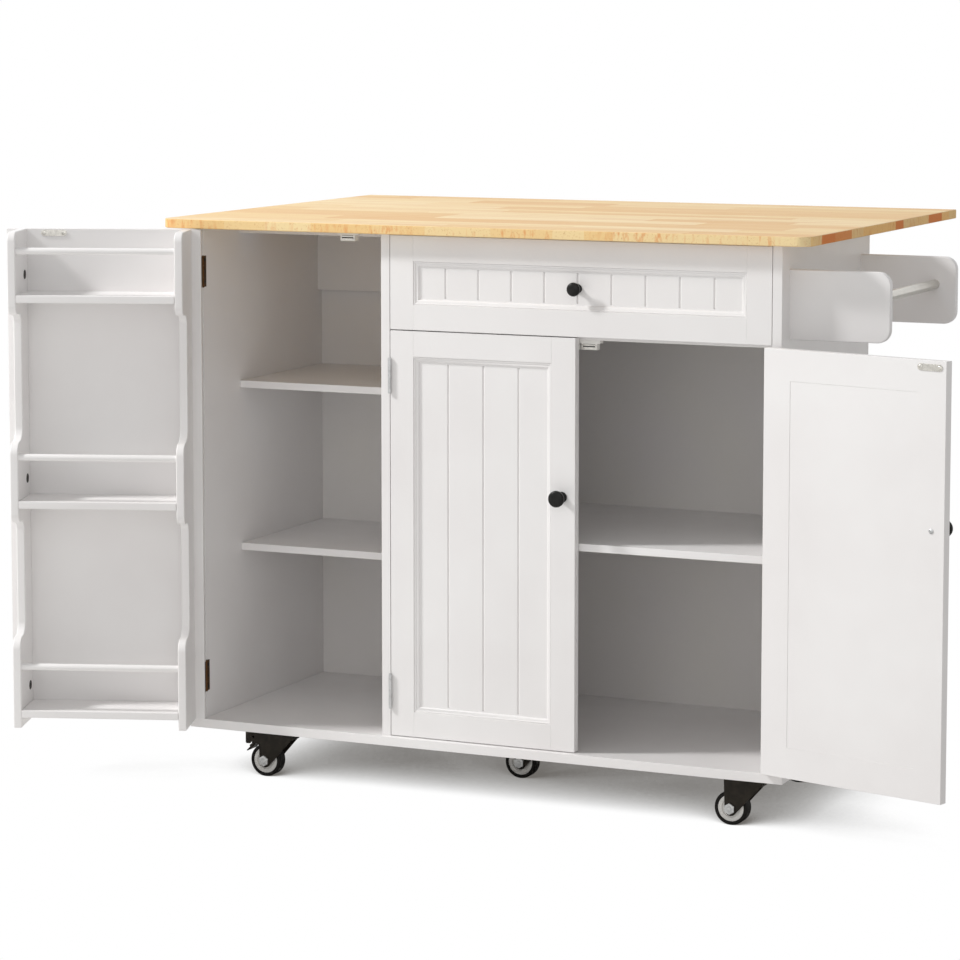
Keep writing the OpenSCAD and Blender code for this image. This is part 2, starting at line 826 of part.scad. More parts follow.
module spice_fittings() {
    color(steel) at_origin() hung_left(spice_pin_x, spice_open) {
        translate([spice_knob_u, pin_off, knob_z]) knob(door_t, knob_r, knob_out);
        translate([spice_strike_u, door_back, top_z - strike_drop - 2]) strike_plate();
    }
}

module door_fittings() {
    translate([knob_u, pin_off, knob_z]) knob(door_t, knob_r, knob_out);
    translate([door_strike_u, door_back, mid_rail_z - strike_drop]) strike_plate();
}

module middle_fittings() {
    color(black) at_origin() hung_left(middle_pin_x, 0) door_fittings();
}

module right_fittings() {
    color(black) at_origin() hung_right(right_pin_x, right_open) door_fittings();
}

// A magnetic catch hanging by its wings from the plane z = 0, with a core for each magnet
module catch_body(magnets) {
    magnet = [20, 6];
    half = max(magnets) + catch_core/2 + catch_wing[0];
    z = [-catch_h + 1.5, -catch_wing[1] - 1];
    difference() {
        union() {
            block([-half, half], [0, catch_depth], [-catch_wing[1], 0]);
            for (x = magnets)
                block([x - catch_core/2, x + catch_core/2], [0, catch_depth],
                    [-catch_h, -catch_wing[1] + over]);
        }
        for (x = magnets)
            block([x - magnet[0]/2, x + magnet[0]/2], [-over, magnet[1]], z);
    }
    for (x = magnets)
        block([x - magnet[0]/2 + seat, x + magnet[0]/2 - seat], [0, magnet[1] - seat],
            [z[0] + seat, z[1] - seat]);
}

module catches() {
    color(white) at_origin() {
        translate([spice_pin_x + spice_strike_u + 12.3, catch_y, top_z]) catch_body([0]);
        translate([(div_r + in_r)/2, catch_y, mid_rail_z]) catch_body([-magnet_x, magnet_x]);
    }
}

// Drawer

module drawer_front() {
    color(white) at_origin() translate([drawer_x0, 0, 0])
        panelled_frame(drawer_w, 0, drawer_z0, drawer_z0 + drawer_h);
}

module drawer_front_panel() {
    color(white) at_origin() translate([drawer_x0, 0, 0])
        beaded_panel(drawer_w, 0, drawer_z0, drawer_z0 + drawer_h, drawer_board, true);
}

module drawer_knob() {
    color(black) at_origin()
        translate([drawer_x0 + drawer_w/2, panel_set, drawer_z0 + drawer_h/2])
            knob(door_t - panel_set, drawer_knob_r, drawer_knob_out);
}

drawer_in_x = [div_r + slide_w, in_r - slide_w];

module drawer_box() {
    z = [box_z0, box_z0 + drawer_side_h];
    y1 = door_t + drawer_l;
    color(white) at_origin() {
        block([drawer_in_x[0], drawer_in_x[0] + drawer_t], [door_t, y1], z);
        block([drawer_in_x[1] - drawer_t, drawer_in_x[1]], [door_t, y1], z);
        block([drawer_in_x[0] + drawer_t + seat, drawer_in_x[1] - drawer_t - seat],
            [y1 - drawer_t, y1], z);
    }
}

module drawer_bottom() {
    color(white) at_origin()
        block([drawer_in_x[0] + drawer_t, drawer_in_x[1] - drawer_t],
            [door_t, door_t + drawer_l - drawer_t], [box_z0 + 4, box_z0 + 4 + drawer_bottom_t]);
}

slide_h = 35;
slide_t = 1.2;
slide_y = [door_t + 5, door_t + 5 + slide_l];

// A channel on the wall x = 0 that opens towards +X
module slide_outer() {
    w = slide_w - 3;
    difference() {
        block([0, w], slide_y, [-slide_h/2, slide_h/2]);
        block([slide_t, w + over], [slide_y[0] - over, slide_y[1] + over],
            [-slide_h/2 + slide_t, slide_h/2 - slide_t]);
    }
}

module slide_inner() {
    h = slide_h - 2*slide_t - 2*slip;
    difference() {
        block([3, slide_w], slide_y, [-h/2, h/2]);
        block([3 - over, slide_w - slide_t], [slide_y[0] - over, slide_y[1] + over],
            [-h/2 + slide_t, h/2 - slide_t]);
    }
}

module slides_fixed() {
    color(steel) at_origin() {
        translate([div_r, 0, slide_z]) slide_outer();
        translate([in_r, 0, slide_z]) mirror([1, 0, 0]) slide_outer();
    }
}

module slides_moving() {
    color(steel) at_origin() {
        translate([div_r, 0, slide_z]) slide_inner();
        translate([in_r, 0, slide_z]) mirror([1, 0, 0]) slide_inner();
    }
}

// Towel rail

towel_r = 20;
towel_ys = [towel_in, cab_d - towel_in - towel_t];
towel_z = top_z - towel_drop - towel_h;
towel_rod_x = cab_w + towel_out - towel_rod_in;
towel_rod_z = towel_z + towel_rod_up;

module bracket_outline() {
    square([towel_out - towel_r, towel_h]);
    translate([0, towel_r]) square([towel_out, towel_h - 2*towel_r]);
    for (z = [towel_r, towel_h - towel_r])
        translate([towel_out - towel_r, z]) circle(r = towel_r);
}

module towel_brackets() {
    color(white) at_origin() difference() {
        for (y = towel_ys)
            translate([cab_w, y + towel_t, towel_z]) rotate([90, 0, 0])
                linear_extrude(towel_t) bracket_outline();
        translate([towel_rod_x, 0, towel_rod_z])
            rod_y(towel_rod_r + run, towel_ys[0] + towel_t - 6.5, towel_ys[1] + 6.5);
    }
}

module towel_rod() {
    color(steel) at_origin() translate([towel_rod_x, 0, towel_rod_z])
        rod_y(towel_rod_r, towel_ys[0] + towel_t - 6, towel_ys[1] + 6);
}

// Casters: the origin is on the floor, under the swivel

screw_in = 8;

module screw_places() {
    for (x = [-1, 1], y = [-1, 1])
        translate([x*(plate_l/2 - screw_in), y*(plate_l/2 - screw_in), 0]) children();
}

// The mounting plate, its bearing ring and the kingpin with its rivet head
module caster_plate() {
    difference() {
        block([-plate_l/2, plate_l/2], [-plate_l/2, plate_l/2], [caster_h - plate_t, caster_h]);
        screw_places() translate([0, 0, caster_h - plate_t - over])
            cylinder(r = 2.6, h = plate_t + 2*over);
    }
    translate([0, 0, crown_z + 10]) cylinder(r = race_r, h = caster_h - plate_t - crown_z - 10);
    translate([0, 0, crown_z - slip]) cylinder(r = king_r, h = 11);
    translate([0, 0, crown_z - slip - 3]) cylinder(r = king_r + 3, h = 3);
}

module caster_plates() {
    color(black) at_origin() for (c = caster_places) translate([c[0], c[1], 0]) caster_plate();
}

module caster_screws() {
    color(steel) at_origin() for (c = caster_places) translate([c[0], c[1], 0])
        screw_places() {
            translate([0, 0, caster_h - plate_t - 2.2]) cylinder(r = 4, h = 2.2);
            translate([0, 0, caster_h - plate_t]) cylinder(r = 2.2, h = plate_t + 10.5);
        }
}

// Pivot of the brake pedal, behind the wheel and above it
brake_x = -trail - 20;
brake_z = crown_z + 1;
brake_r = 3.5;

// Side view of a fork leg, with the swivel at x = 0
module leg_outline(brake) {
    top = crown_z + 10 - slip;
    polygon([[-trail - 10, top], [-trail + 52, top], [-trail + 52, top - 6],
        [-trail + 7.9, wheel_r - 8.6], [-trail - 7, wheel_r - 3], [-trail - 8.5, wheel_r]]);
    translate([-trail + 1.5, wheel_r - 2.8]) circle(r = 8.5);
    // The brake's housing, with a notch below where its pedal comes out
    if (brake) translate([brake_x, brake_z])
        polygon([[13, -15], [13, top - brake_z], [-14, top - brake_z], [-14, -10.3], [-12.6, -11.8],
            [-6.6, -11.8], [-3.2, -8.7], [5, -10], [8, -12]]);
}

module fork(brake) {
    difference() {
        union() {
            for (y = [-leg_y, leg_y + leg_t])
                translate([0, y, 0]) rotate([90, 0, 0]) linear_extrude(leg_t) leg_outline(brake);
            block([-trail - 9, -trail + 51], [-leg_y, leg_y], [crown_z, crown_z + 3]);
            translate([0, 0, crown_z + 2]) cylinder(r = leg_y - 1, h = 8 - slip);
        }
        translate([0, 0, crown_z - over]) cylinder(r = king_r + run, h = 20);
        translate([-trail, 0, wheel_r]) rod_y(axle_r + run, -30, 30);
        if (brake) {
            translate([brake_x, 0, brake_z]) rod_y(2 + run, -30, 30);
            // Room between the legs for the pedal's barrel
            block([brake_x - 14, brake_x + brake_r + slip], [-leg_y, leg_y], [brake_z - 8, brake_z + 8]);
        }
    }
    translate([-trail, 0, wheel_r]) {
        rod_y(axle_r, -leg_y - leg_t - 3, leg_y + leg_t + seat);
        rod_y(6.5, leg_y + leg_t + seat, leg_y + leg_t + 3);
    }
    // The nut on the axle's front end
    translate([-trail, -leg_y - leg_t - seat, wheel_r]) difference() {
        rotate([90, 0, 0]) cylinder(r = 9, h = 5, $fn = 6);
        rod_y(axle_r + run, -6, 1);
    }
    if (brake) {
        translate([brake_x, 0, brake_z]) rod_y(2, -leg_y - leg_t, leg_y + leg_t);
    }
}

// Side view of a pedal below its barrel: a slanting tread that steps down to a thin tip
module pedal_outline() {
    polygon([[-2.8, -1.5], [-4.5, -11.9], [-9, -15.3], [-7.7, -17.5], [-14.3, -24.4], [-12.7, -25],
        [-7.3, -22.6], [-2.9, -17.5], [2.8, -11.2], [2.8, -1.5]]);
}

module brake_pedal() {
    half = leg_y - slip;
    arm = half - 0.5;
    translate([brake_x, 0, brake_z]) difference() {
        union() {
            rod_y(brake_r, -half, half);
            translate([0, arm, 0]) rotate([90, 0, 0]) linear_extrude(2*arm) pedal_outline();
        }
        rod_y(2 + run, -half - over, half + over);
    }
}

module wheel() {
    half = wheel_w/2;
    translate([-trail, 0, wheel_r]) rotate([90, 0, 0]) {
        rotate_extrude() polygon(concat(
            [[hub_r + seat, -half + 1], [wheel_r - 3, -half]], arc([wheel_r - 3, -half + 3], 3, -60, 0, 4),
            arc([wheel_r - 3, half - 3], 3, 0, 60, 4), [[wheel_r - 3, half], [hub_r + seat, half - 1]]));
        rotate_extrude() polygon([[axle_r + run, -half], [9, -half], [9, -half + 3], [hub_r - 4, -half + 3],
            [hub_r - 3, -half + 1], [hub_r, -half + 1], [hub_r, half - 1], [hub_r - 3, half - 1],
            [hub_r - 4, half - 3], [9, half - 3], [9, half], [axle_r + run, half]]);
    }
}

module caster(k) {
    at_origin() translate([caster_places[k][0], caster_places[k][1], 0]) children();
}

module fork_front_left() { color(black) caster(0) fork(true); }

module fork_front_right() { color(black) caster(1) fork(false); }

module fork_rear_left() { color(black) caster(2) fork(true); }

module fork_rear_right() { color(black) caster(3) fork(false); }

module fork_middle() { color(black) caster(4) fork(false); }

module brake_front() { color(black) caster(0) brake_pedal(); }

module brake_rear() { color(black) caster(2) brake_pedal(); }

module wheel_front_left() { color(grey) caster(0) wheel(); }

module wheel_front_right() { color(grey) caster(1) wheel(); }

module wheel_rear_left() { color(grey) caster(2) wheel(); }

module wheel_rear_right() { color(grey) caster(3) wheel(); }

module wheel_middle() { color(grey) caster(4) wheel(); }

worktop();
drop_leaf();
leaf_hinge_fixed();
leaf_hinge_moving();
leaf_tracks();
leaf_braces();
brace_brackets();
left_side_panel();
right_side_panel();
divider();
back_panel();
base_panel();
top_rails();
rear_rails();
middle_rail();
left_shelves();
right_shelf();
shelf_pins();
spice_door();
spice_hinge_fixed();
spice_hinge_moving();
rack_sides();
rack_shelves();
rack_rails();
rack_bolts();
middle_door_frame();
middle_door_panel();
middle_hinge_fixed();
middle_hinge_moving();
right_door_frame();
right_door_panel();
right_hinge_fixed();
right_hinge_moving();
spice_fittings();
middle_fittings();
right_fittings();
catches();
drawer_front();
drawer_front_panel();
drawer_box();
drawer_bottom();
drawer_knob();
slides_fixed();
slides_moving();
towel_brackets();
towel_rod();
caster_plates();
caster_screws();
fork_front_left();
fork_front_right();
fork_rear_left();
fork_rear_right();
fork_middle();
wheel_front_left();
wheel_front_right();
wheel_rear_left();
wheel_rear_right();
wheel_middle();
brake_front();
brake_rear();
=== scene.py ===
"""Kitchen cart: a painted cabinet on casters with a staved worktop and a drop leaf."""
import json
import math
from contextlib import contextmanager
from random import Random

import bmesh
import bpy
from bpy.props import FloatProperty, FloatVectorProperty, IntProperty, PointerProperty
from bpy.types import Operator, Panel, PropertyGroup
from mathutils import Matrix, Vector


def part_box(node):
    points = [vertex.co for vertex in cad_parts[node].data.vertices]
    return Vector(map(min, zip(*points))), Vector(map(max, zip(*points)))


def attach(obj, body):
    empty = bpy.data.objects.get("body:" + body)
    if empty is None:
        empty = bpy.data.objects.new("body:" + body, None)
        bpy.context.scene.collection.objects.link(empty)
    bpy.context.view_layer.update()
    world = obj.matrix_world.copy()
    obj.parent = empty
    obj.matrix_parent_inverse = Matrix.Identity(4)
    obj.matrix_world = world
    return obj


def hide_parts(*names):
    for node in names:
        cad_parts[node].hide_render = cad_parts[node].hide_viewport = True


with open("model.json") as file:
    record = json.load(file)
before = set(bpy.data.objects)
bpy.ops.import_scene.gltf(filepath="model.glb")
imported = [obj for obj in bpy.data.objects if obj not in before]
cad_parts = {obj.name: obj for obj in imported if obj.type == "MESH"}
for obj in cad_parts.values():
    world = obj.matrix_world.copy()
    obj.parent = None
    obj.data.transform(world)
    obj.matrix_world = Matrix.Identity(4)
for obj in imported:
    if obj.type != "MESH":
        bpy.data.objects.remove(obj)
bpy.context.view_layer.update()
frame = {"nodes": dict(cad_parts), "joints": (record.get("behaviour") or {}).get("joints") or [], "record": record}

bl_info = {
    "name": "Kitchen cart",
    "version": (1, 0, 0),
    "blender": (4, 5, 0),
    "location": "View3D > Sidebar > Cart",
    "description": "Builds the painted cabinet, its staved worktop, doors, rack and casters",
    "category": "Add Mesh",
}

MM = 0.001
TURN = 2 * math.pi
# Corners this close to a plane, in metres, lie on it
NEAR = 1e-5
WHITE = (1.0, 1.0, 1.0)
# Radius and height of the heads behind the knobs, in millimetres
KNOB_SCREW = (4.0, 2.0)
JOINTS = {joint["name"]: joint for joint in frame["joints"]}
BODY = {node: body for body, nodes in frame["record"]["behaviour"]["bodies"].items() for node in nodes}
# The cabinet's left front corner on the floor, from which the drawing's places are counted
CORNER = Vector((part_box("left_side_panel")[0].x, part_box("left_side_panel")[0].y, 0.0))


def mm(x, y, z):
    """A point or a way given in millimetres, in metres."""
    return Vector((x, y, z)) * MM


def place(x, y, z):
    """A point of the drawing in millimetres from the cabinet's corner, in the frame's metres."""
    return CORNER + mm(x, y, z)


def linear(code):
    """An sRGB hex colour as linear red, green and blue."""
    shares = [int(code[i:i + 2], 16) / 255 for i in (1, 3, 5)]
    return tuple(s / 12.92 if s <= 0.04045 else ((s + 0.055) / 1.055) ** 2.4 for s in shares)


# Settings


def length(name, description, millimetres):
    return FloatProperty(name=name, description=description, default=millimetres * MM, min=0.0,
                         precision=4, unit="LENGTH")


def colour(name, description, code):
    return FloatVectorProperty(name=name, description=description, default=linear(code), size=3,
                               min=0.0, max=1.0, subtype="COLOR")


class WorktopSettings(PropertyGroup):
    edge: length("Edge rounding", "Radius along the worktop's upper and lower edges", 1.6)
    corner: length("Corner radius", "Radius of the two front corners in plan", 22)
    narrow: length("Narrowest stave", "Least width of a stave", 26)
    wide: length("Widest stave", "Greatest width of a stave", 84)
    pale: colour("Pale stave", "Sapwood of the palest staves", "#F6DFB2")
    honey: colour("Honey stave", "Common colour of the staves", "#EFD099")
    tan: colour("Tan stave", "Heartwood of the darkest staves", "#E7BF87")
    late: colour("Late wood", "Darker lines of the growth rings", "#D39450")
    end_pale: colour("Pale end", "Sawn edges of the palest staves", "#F3DCAA")
    end_honey: colour("Honey edge", "Sawn edges of the other staves", "#EFCA8E")
    end_tan: colour("Tan end", "Sawn ends, which drink the oil", "#F3C27C")
    end_red: colour("Red end", "Sawn ends of the heartwood", "#DF8442")
    pore: colour("Pores", "Open pores of the wood", "#B5672C")


class PaintSettings(PropertyGroup):
    edge: length("Edge rounding", "Radius of the painted boards' edges", 0.7)
    white: colour("Paint", "Sprayed lacquer", "#EEECEB")
    shade: colour("Paint, thin", "The lacquer where it lies thinner", "#E9E6E5")
    foil: colour("Foil", "White foil on the back and on the drawer's bottom", "#E9E6E2")


class DoorSettings(PropertyGroup):
    stile: length("Stile", "Width of the frame round each panel", 40)
    mould: length("Moulding", "Width of the moulding inside the frame", 11)
    depth: length("Panel depth", "How far the panel lies behind the frame", 6)
    lap: length("Panel lap", "How far the panel reaches behind the moulding", 4)
    pitch: length("Door grooves", "Spacing of the grooves in the doors", 60)
    drawer_pitch: length("Drawer grooves", "Spacing of the grooves in the drawer's front", 55.8)
    groove: length("Groove", "Width of a groove", 3.96)
    spice_width: length("Spice door", "Width of the spice door", 315.4)
    knob: length("Knob radius", "Radius of the door knobs", 13)
    knob_out: length("Knob reach", "How far the door knobs stand out", 28)
    knob_z: length("Knob height", "Height of the door knobs above the floor", 499.5)
    pull: length("Pull radius", "Radius of the drawer's knob", 10.8)
    pull_out: length("Pull reach", "How far the drawer's knob stands out", 23)


class HardwareSettings(PropertyGroup):
    zinc: colour("Zinc", "Bright zinc plating", "#D0D1D1")
    nickel: colour("Nickel", "Nickel plating of the strike plates", "#D8D5CE")
    bronze: colour("Bronze", "Dark bronze plating of the spice door's hinges", "#5E432C")
    black: colour("Black", "Black lacquer of the knobs", "#161514")
    coat: colour("Caster coat", "Black coat of the casters", "#211C15")
    plastic: colour("Catch", "White plastic of the catches", "#F0EEE9")


class CasterSettings(PropertyGroup):
    radius: length("Wheel radius", "Radius of the tyres", 26.8)
    width: length("Wheel width", "Width of the tyres", 22)
    hub: length("Hub radius", "Radius of the hubs", 20.9)
    rubber: colour("Tyre", "Black rubber of the tyres", "#12100D")
    grey: colour("Hub", "Light grey plastic of the hubs", "#EBE9E5")


class StageSettings(PropertyGroup):
    key: FloatProperty(name="Key light", description="Power of the lamp at the left", default=258.0,
                       unit="POWER")
    key_size: length("Key size", "Width of the lamp at the left", 700)
    key_far: length("Key distance", "How far the lamp at the left stands", 6000)
    fill: FloatProperty(name="Fill light", description="Power of the wide lamp in front", default=21.0,
                        unit="POWER")
    sky: FloatProperty(name="Surround", description="Strength of the light from all round", default=0.48)
    lens: FloatProperty(name="Lens", description="Focal length of the camera in millimetres", default=126.06)
    turn: FloatProperty(name="Heading", description="How far the camera stands to the right of the front",
                        default=math.radians(24.284), subtype="ANGLE")
    tilt: FloatProperty(name="Tilt", description="How far the camera looks down",
                        default=0.10521, subtype="ANGLE")
    eye: FloatVectorProperty(name="Camera", description="Place of the camera from the cabinet's corner", size=3,
                             default=(2.6406, -4.7359, 1.2477), subtype="TRANSLATION", unit="LENGTH")


# Shader nodes and surfaces


def add(tree, kind, inputs=None, **options):
    """Adds a shader node with its options; inputs takes a value, a socket or a node for each named or
    numbered input, and stops the places and colours of a ramp."""
    made = tree.nodes.new("ShaderNode" + kind)
    stops = options.pop("stops", ())
    for name, value in options.items():
        setattr(made, name, value)
    for _ in stops[2:]:
        made.color_ramp.elements.new(1.0)
    for number, (position, shade) in enumerate(stops):
        element = made.color_ramp.elements[number]
        element.position, element.color = position, (*shade, 1.0)
    for name, value in (inputs or {}).items():
        socket = made.inputs[name] if isinstance(name, int) else next(
            s for s in made.inputs if s.name == name and s.enabled)
        if isinstance(value, bpy.types.Node):
            value = next(s for s in value.outputs if s.enabled)
        if isinstance(value, bpy.types.NodeSocket):
            tree.links.new(value, socket)
        elif socket.type == "RGBA":
            socket.default_value = (*value[:3], 1.0)
        else:
            socket.default_value = value
    return made


def surface(name, sheen, **sockets):
    """Starts a material: its tree, its shader with the even values set, and the piece's own coordinates."""
    material = bpy.data.materials.new(name)
    material.use_nodes = True
    tree = material.node_tree
    shader = tree.nodes["Principled BSDF"]
    shader.inputs["Roughness"].default_value = sheen
    for key, value in sockets.items():
        shader.inputs[key.replace("_", " ")].default_value = value
    return material, tree, shader, add(tree, "TexCoord").outputs["Object"]


def feed(tree, shader, **sources):
    """Links a pattern to the shader's inputs."""
    for key, source in sources.items():
        tree.links.new(next(s for s in source.outputs if s.enabled), shader.inputs[key.replace("_", " ")])


def noise(tree, spot, scale, detail, roughness=0.5, distortion=0.0):
    """Clouds or grain, with their scale counted in one metre."""
    return add(tree, "TexNoise", {"Vector": spot, "Scale": scale, "Detail": detail,
                                  "Roughness": roughness, "Distortion": distortion})


def spread(tree, value, low=0.0, high=1.0, least=0.0, most=1.0):
    """A pattern's values from low to high, drawn out from least to most."""
    return add(tree, "MapRange", {"Value": value, "From Min": low, "From Max": high,
                                  "To Min": least, "To Max": most})


def blend(tree, share, first, second):
    """The first colour, with a share of the second."""
    return add(tree, "Mix", {"Factor": share, "A": first, "B": second}, data_type="RGBA")


def combine(tree, operation, first, second):
    return add(tree, "Math", {0: first, 1: second}, operation=operation)


def relief(tree, height, strength, depth=0.2):
    """A bump from a pattern, its depth in millimetres."""
    return add(tree, "Bump", {"Height": height, "Strength": strength, "Distance": depth * MM})


def lacquered_mdf(paint):
    """Satin lacquer sprayed on MDF: an even off-white, a faint orange peel about 1.5 mm across, and a gloss
    that wanders a little where the coat lies thicker."""
    made, tree, shader, spot = surface("satin_lacquered_mdf", 0.4)
    cloud = noise(tree, spot, 3.5, 3.0, 0.6)
    peel = noise(tree, spot, 620.0, 2.0, 0.45)
    dust = noise(tree, spot, 2600.0, 1.0)
    coat = combine(tree, "ADD", peel, combine(tree, "MULTIPLY", dust, 0.25))
    feed(tree, shader, Base_Color=blend(tree, spread(tree, cloud, 0.35, 0.65), paint.white, paint.shade),
         Roughness=spread(tree, noise(tree, spot, 24.0, 4.0), 0.3, 0.7, 0.34, 0.46),
         Normal=relief(tree, coat, 0.12))
    return made


def foiled_board(paint):
    """White printed foil pressed on thin fibreboard: flatter and a little greyer than lacquer, with the fine
    linen-like print of its press plate."""
    made, tree, shader, spot = surface("white_foil_on_fibreboard", 0.5)
    cloud = noise(tree, spot, 6.0, 4.0)
    threads = [add(tree, "TexWave", {"Vector": spot, "Scale": 260.0, "Distortion": 1.5}, bands_direction=way)
               for way in "XZ"]
    feed(tree, shader, Base_Color=blend(tree, spread(tree, cloud, 0.3, 0.7), paint.foil, paint.shade),
         Roughness=spread(tree, cloud, least=0.46, most=0.56),
         Normal=relief(tree, combine(tree, "MAXIMUM", *threads), 0.08))
    return made


def oiled_staves(wood):
    """Rubberwood staves glued side by side and oiled: each stave has its own tone, long soft growth lines and
    short dark pores; its sawn ends are deeper in tone and speckled."""
    made, tree, shader, spot = surface("oiled_rubberwood_staves", 0.5)
    stave = add(tree, "SeparateColor", {"Color": add(tree, "Attribute", attribute_name="stave")})
    tone, seed, cut = stave.outputs["Red"], stave.outputs["Green"], stave.outputs["Blue"]
    jump = add(tree, "CombineXYZ", {"X": seed, "Y": tone, "Z": seed})
    moved = add(tree, "VectorMath", {0: jump, 1: (7.0, 3.0, 1.7), 2: spot}, operation="MULTIPLY_ADD")
    # The grain is drawn out fourteen times along the stave
    grain = add(tree, "Mapping", {"Vector": moved, "Scale": (0.07, 1.0, 1.0)})
    lines = add(tree, "TexWave", {"Vector": grain, "Scale": 26.0, "Distortion": 9.0, "Detail": 3.0,
                                  "Detail Scale": 1.3, "Detail Roughness": 0.6},
                wave_type="RINGS", rings_direction="X")
    streak = noise(tree, grain, 95.0, 5.0, 0.62)
    pores = noise(tree, grain, 900.0, 2.0)
    flame = noise(tree, grain, 22.0, 3.0)
    face = add(tree, "ValToRGB", {"Fac": tone}, stops=[(0.0, wood.pale), (0.5, wood.honey), (1.0, wood.tan)])
    for pattern, low, high, most, shade in (
            (flame, 0.5, 0.72, 0.5, wood.tan), (lines, 0.55, 1.0, 0.22, wood.late),
            (streak, 0.56, 0.8, 0.55, wood.late), (pores, 0.6, 0.75, 0.3, wood.pore)):
        face = blend(tree, spread(tree, pattern, low, high, most=most), face, shade)
    # On the sawn ends and edges the pores are dots and short ticks. The ticks gather in patches, so that
    # some of the glued pieces show hardly any
    speck = noise(tree, moved, 340.0, 3.0, 0.7)
    upright = add(tree, "Mapping", {"Vector": moved, "Rotation": (0.0, 0.5, 0.0), "Scale": (1.0, 1.0, 0.3)})
    ticks = spread(tree, noise(tree, upright, 130.0, 3.0, 0.6), 0.5, 0.66, most=0.62)
    ends = add(tree, "ValToRGB", {"Fac": tone}, stops=[
        (0.0, wood.end_pale), (0.45, wood.end_honey), (0.55, wood.end_tan), (0.66, wood.end_tan),
        (0.7, wood.end_red), (0.8, wood.end_red), (0.84, wood.end_tan), (0.95, wood.end_honey)])
    ends = blend(tree, combine(tree, "MULTIPLY", ticks, spread(tree, flame, 0.4, 0.62)), ends, wood.end_red)
    ends = blend(tree, spread(tree, speck, 0.58, 0.72, most=0.45), ends, wood.pore)
    height = combine(tree, "ADD", pores, combine(tree, "MULTIPLY", lines, 0.3))
    feed(tree, shader, Base_Color=blend(tree, cut, face, ends),
         Roughness=spread(tree, streak, least=0.42, most=0.6),
         Specular_IOR_Level=spread(tree, cut, least=0.3, most=0.06), Normal=relief(tree, height, 0.15))
    return made


def plated_steel(name, tint, sheen, grit):
    """Pressed steel under a thin metal plating: bright, slightly clouded, with fine drawing marks and a duller
    bloom where it was handled."""
    made, tree, shader, spot = surface(name, sheen, Metallic=1.0)
    bloom = spread(tree, noise(tree, spot, 160.0, 4.0), 0.4, 0.75)
    drawn = add(tree, "Mapping", {"Vector": spot, "Scale": (1.0, 1.0, 0.06)})
    marks = noise(tree, drawn, grit, 3.0, 0.6)
    feed(tree, shader, Base_Color=blend(tree, bloom, tint, [0.72 * c for c in tint]),
         Roughness=spread(tree, marks, least=sheen - 0.08, most=sheen + 0.12),
         Normal=relief(tree, marks, 0.1, 0.1))
    return made


def coated_black(name, tint, sheen, grain):
    """Black coat on metal: nearly even, with the fine leathery grain of a stoved coat and a greyer bloom."""
    made, tree, shader, spot = surface(name, sheen, Specular_IOR_Level=0.2)
    bloom = noise(tree, spot, 70.0, 5.0, 0.6)
    grey = [min(1.0, c * 1.9 + 0.004) for c in tint]
    feed(tree, shader, Base_Color=blend(tree, spread(tree, bloom, 0.45, 0.8), tint, grey),
         Roughness=spread(tree, bloom, least=sheen - 0.08, most=sheen + 0.1),
         Normal=relief(tree, noise(tree, spot, grain, 2.0), 0.18))
    return made


def moulded_plastic(name, tint, sheen, grain):
    """Moulded plastic: even colour with faint flow clouds and the fine spark texture of its tool."""
    made, tree, shader, spot = surface(name, sheen, IOR=1.49)
    flow = noise(tree, spot, 90.0, 3.0, distortion=1.2)
    feed(tree, shader, Base_Color=blend(tree, flow, tint, [0.9 * c for c in tint]),
         Roughness=spread(tree, flow, least=sheen - 0.06, most=sheen + 0.08),
         Normal=relief(tree, noise(tree, spot, grain, 2.0), 0.12, 0.15))
    return made


def tyre_rubber(tint):
    """Black rubber tyre: matt, with road dust in its fine pores."""
    made, tree, shader, spot = surface("black_rubber_tyre", 0.62, Specular_IOR_Level=0.2)
    dust = noise(tree, spot, 300.0, 5.0, 0.7)
    pores = add(tree, "TexVoronoi", {"Vector": spot, "Scale": 1500.0})
    feed(tree, shader,
         Base_Color=blend(tree, spread(tree, dust, 0.5, 0.8), tint, [c * 2.2 + 0.008 for c in tint]),
         Roughness=spread(tree, dust, least=0.52, most=0.74), Normal=relief(tree, pores, 0.15))
    return made


def brushed_rod(tint):
    """Brushed stainless steel: fine lines along the rod, which draw its highlight out."""
    made, tree, shader, spot = surface("brushed_stainless_steel", 0.3, Metallic=1.0, Anisotropic=0.5)
    drawn = add(tree, "Mapping", {"Vector": spot, "Scale": (1.0, 0.02, 1.0)})
    lines = noise(tree, drawn, 1800.0, 3.0, 0.7)
    feed(tree, shader, Base_Color=blend(tree, noise(tree, spot, 40.0, 3.0), tint, [0.8 * c for c in tint]),
         Roughness=spread(tree, lines, least=0.22, most=0.42), Normal=relief(tree, lines, 0.08, 0.1))
    return made


FINISHED = {}


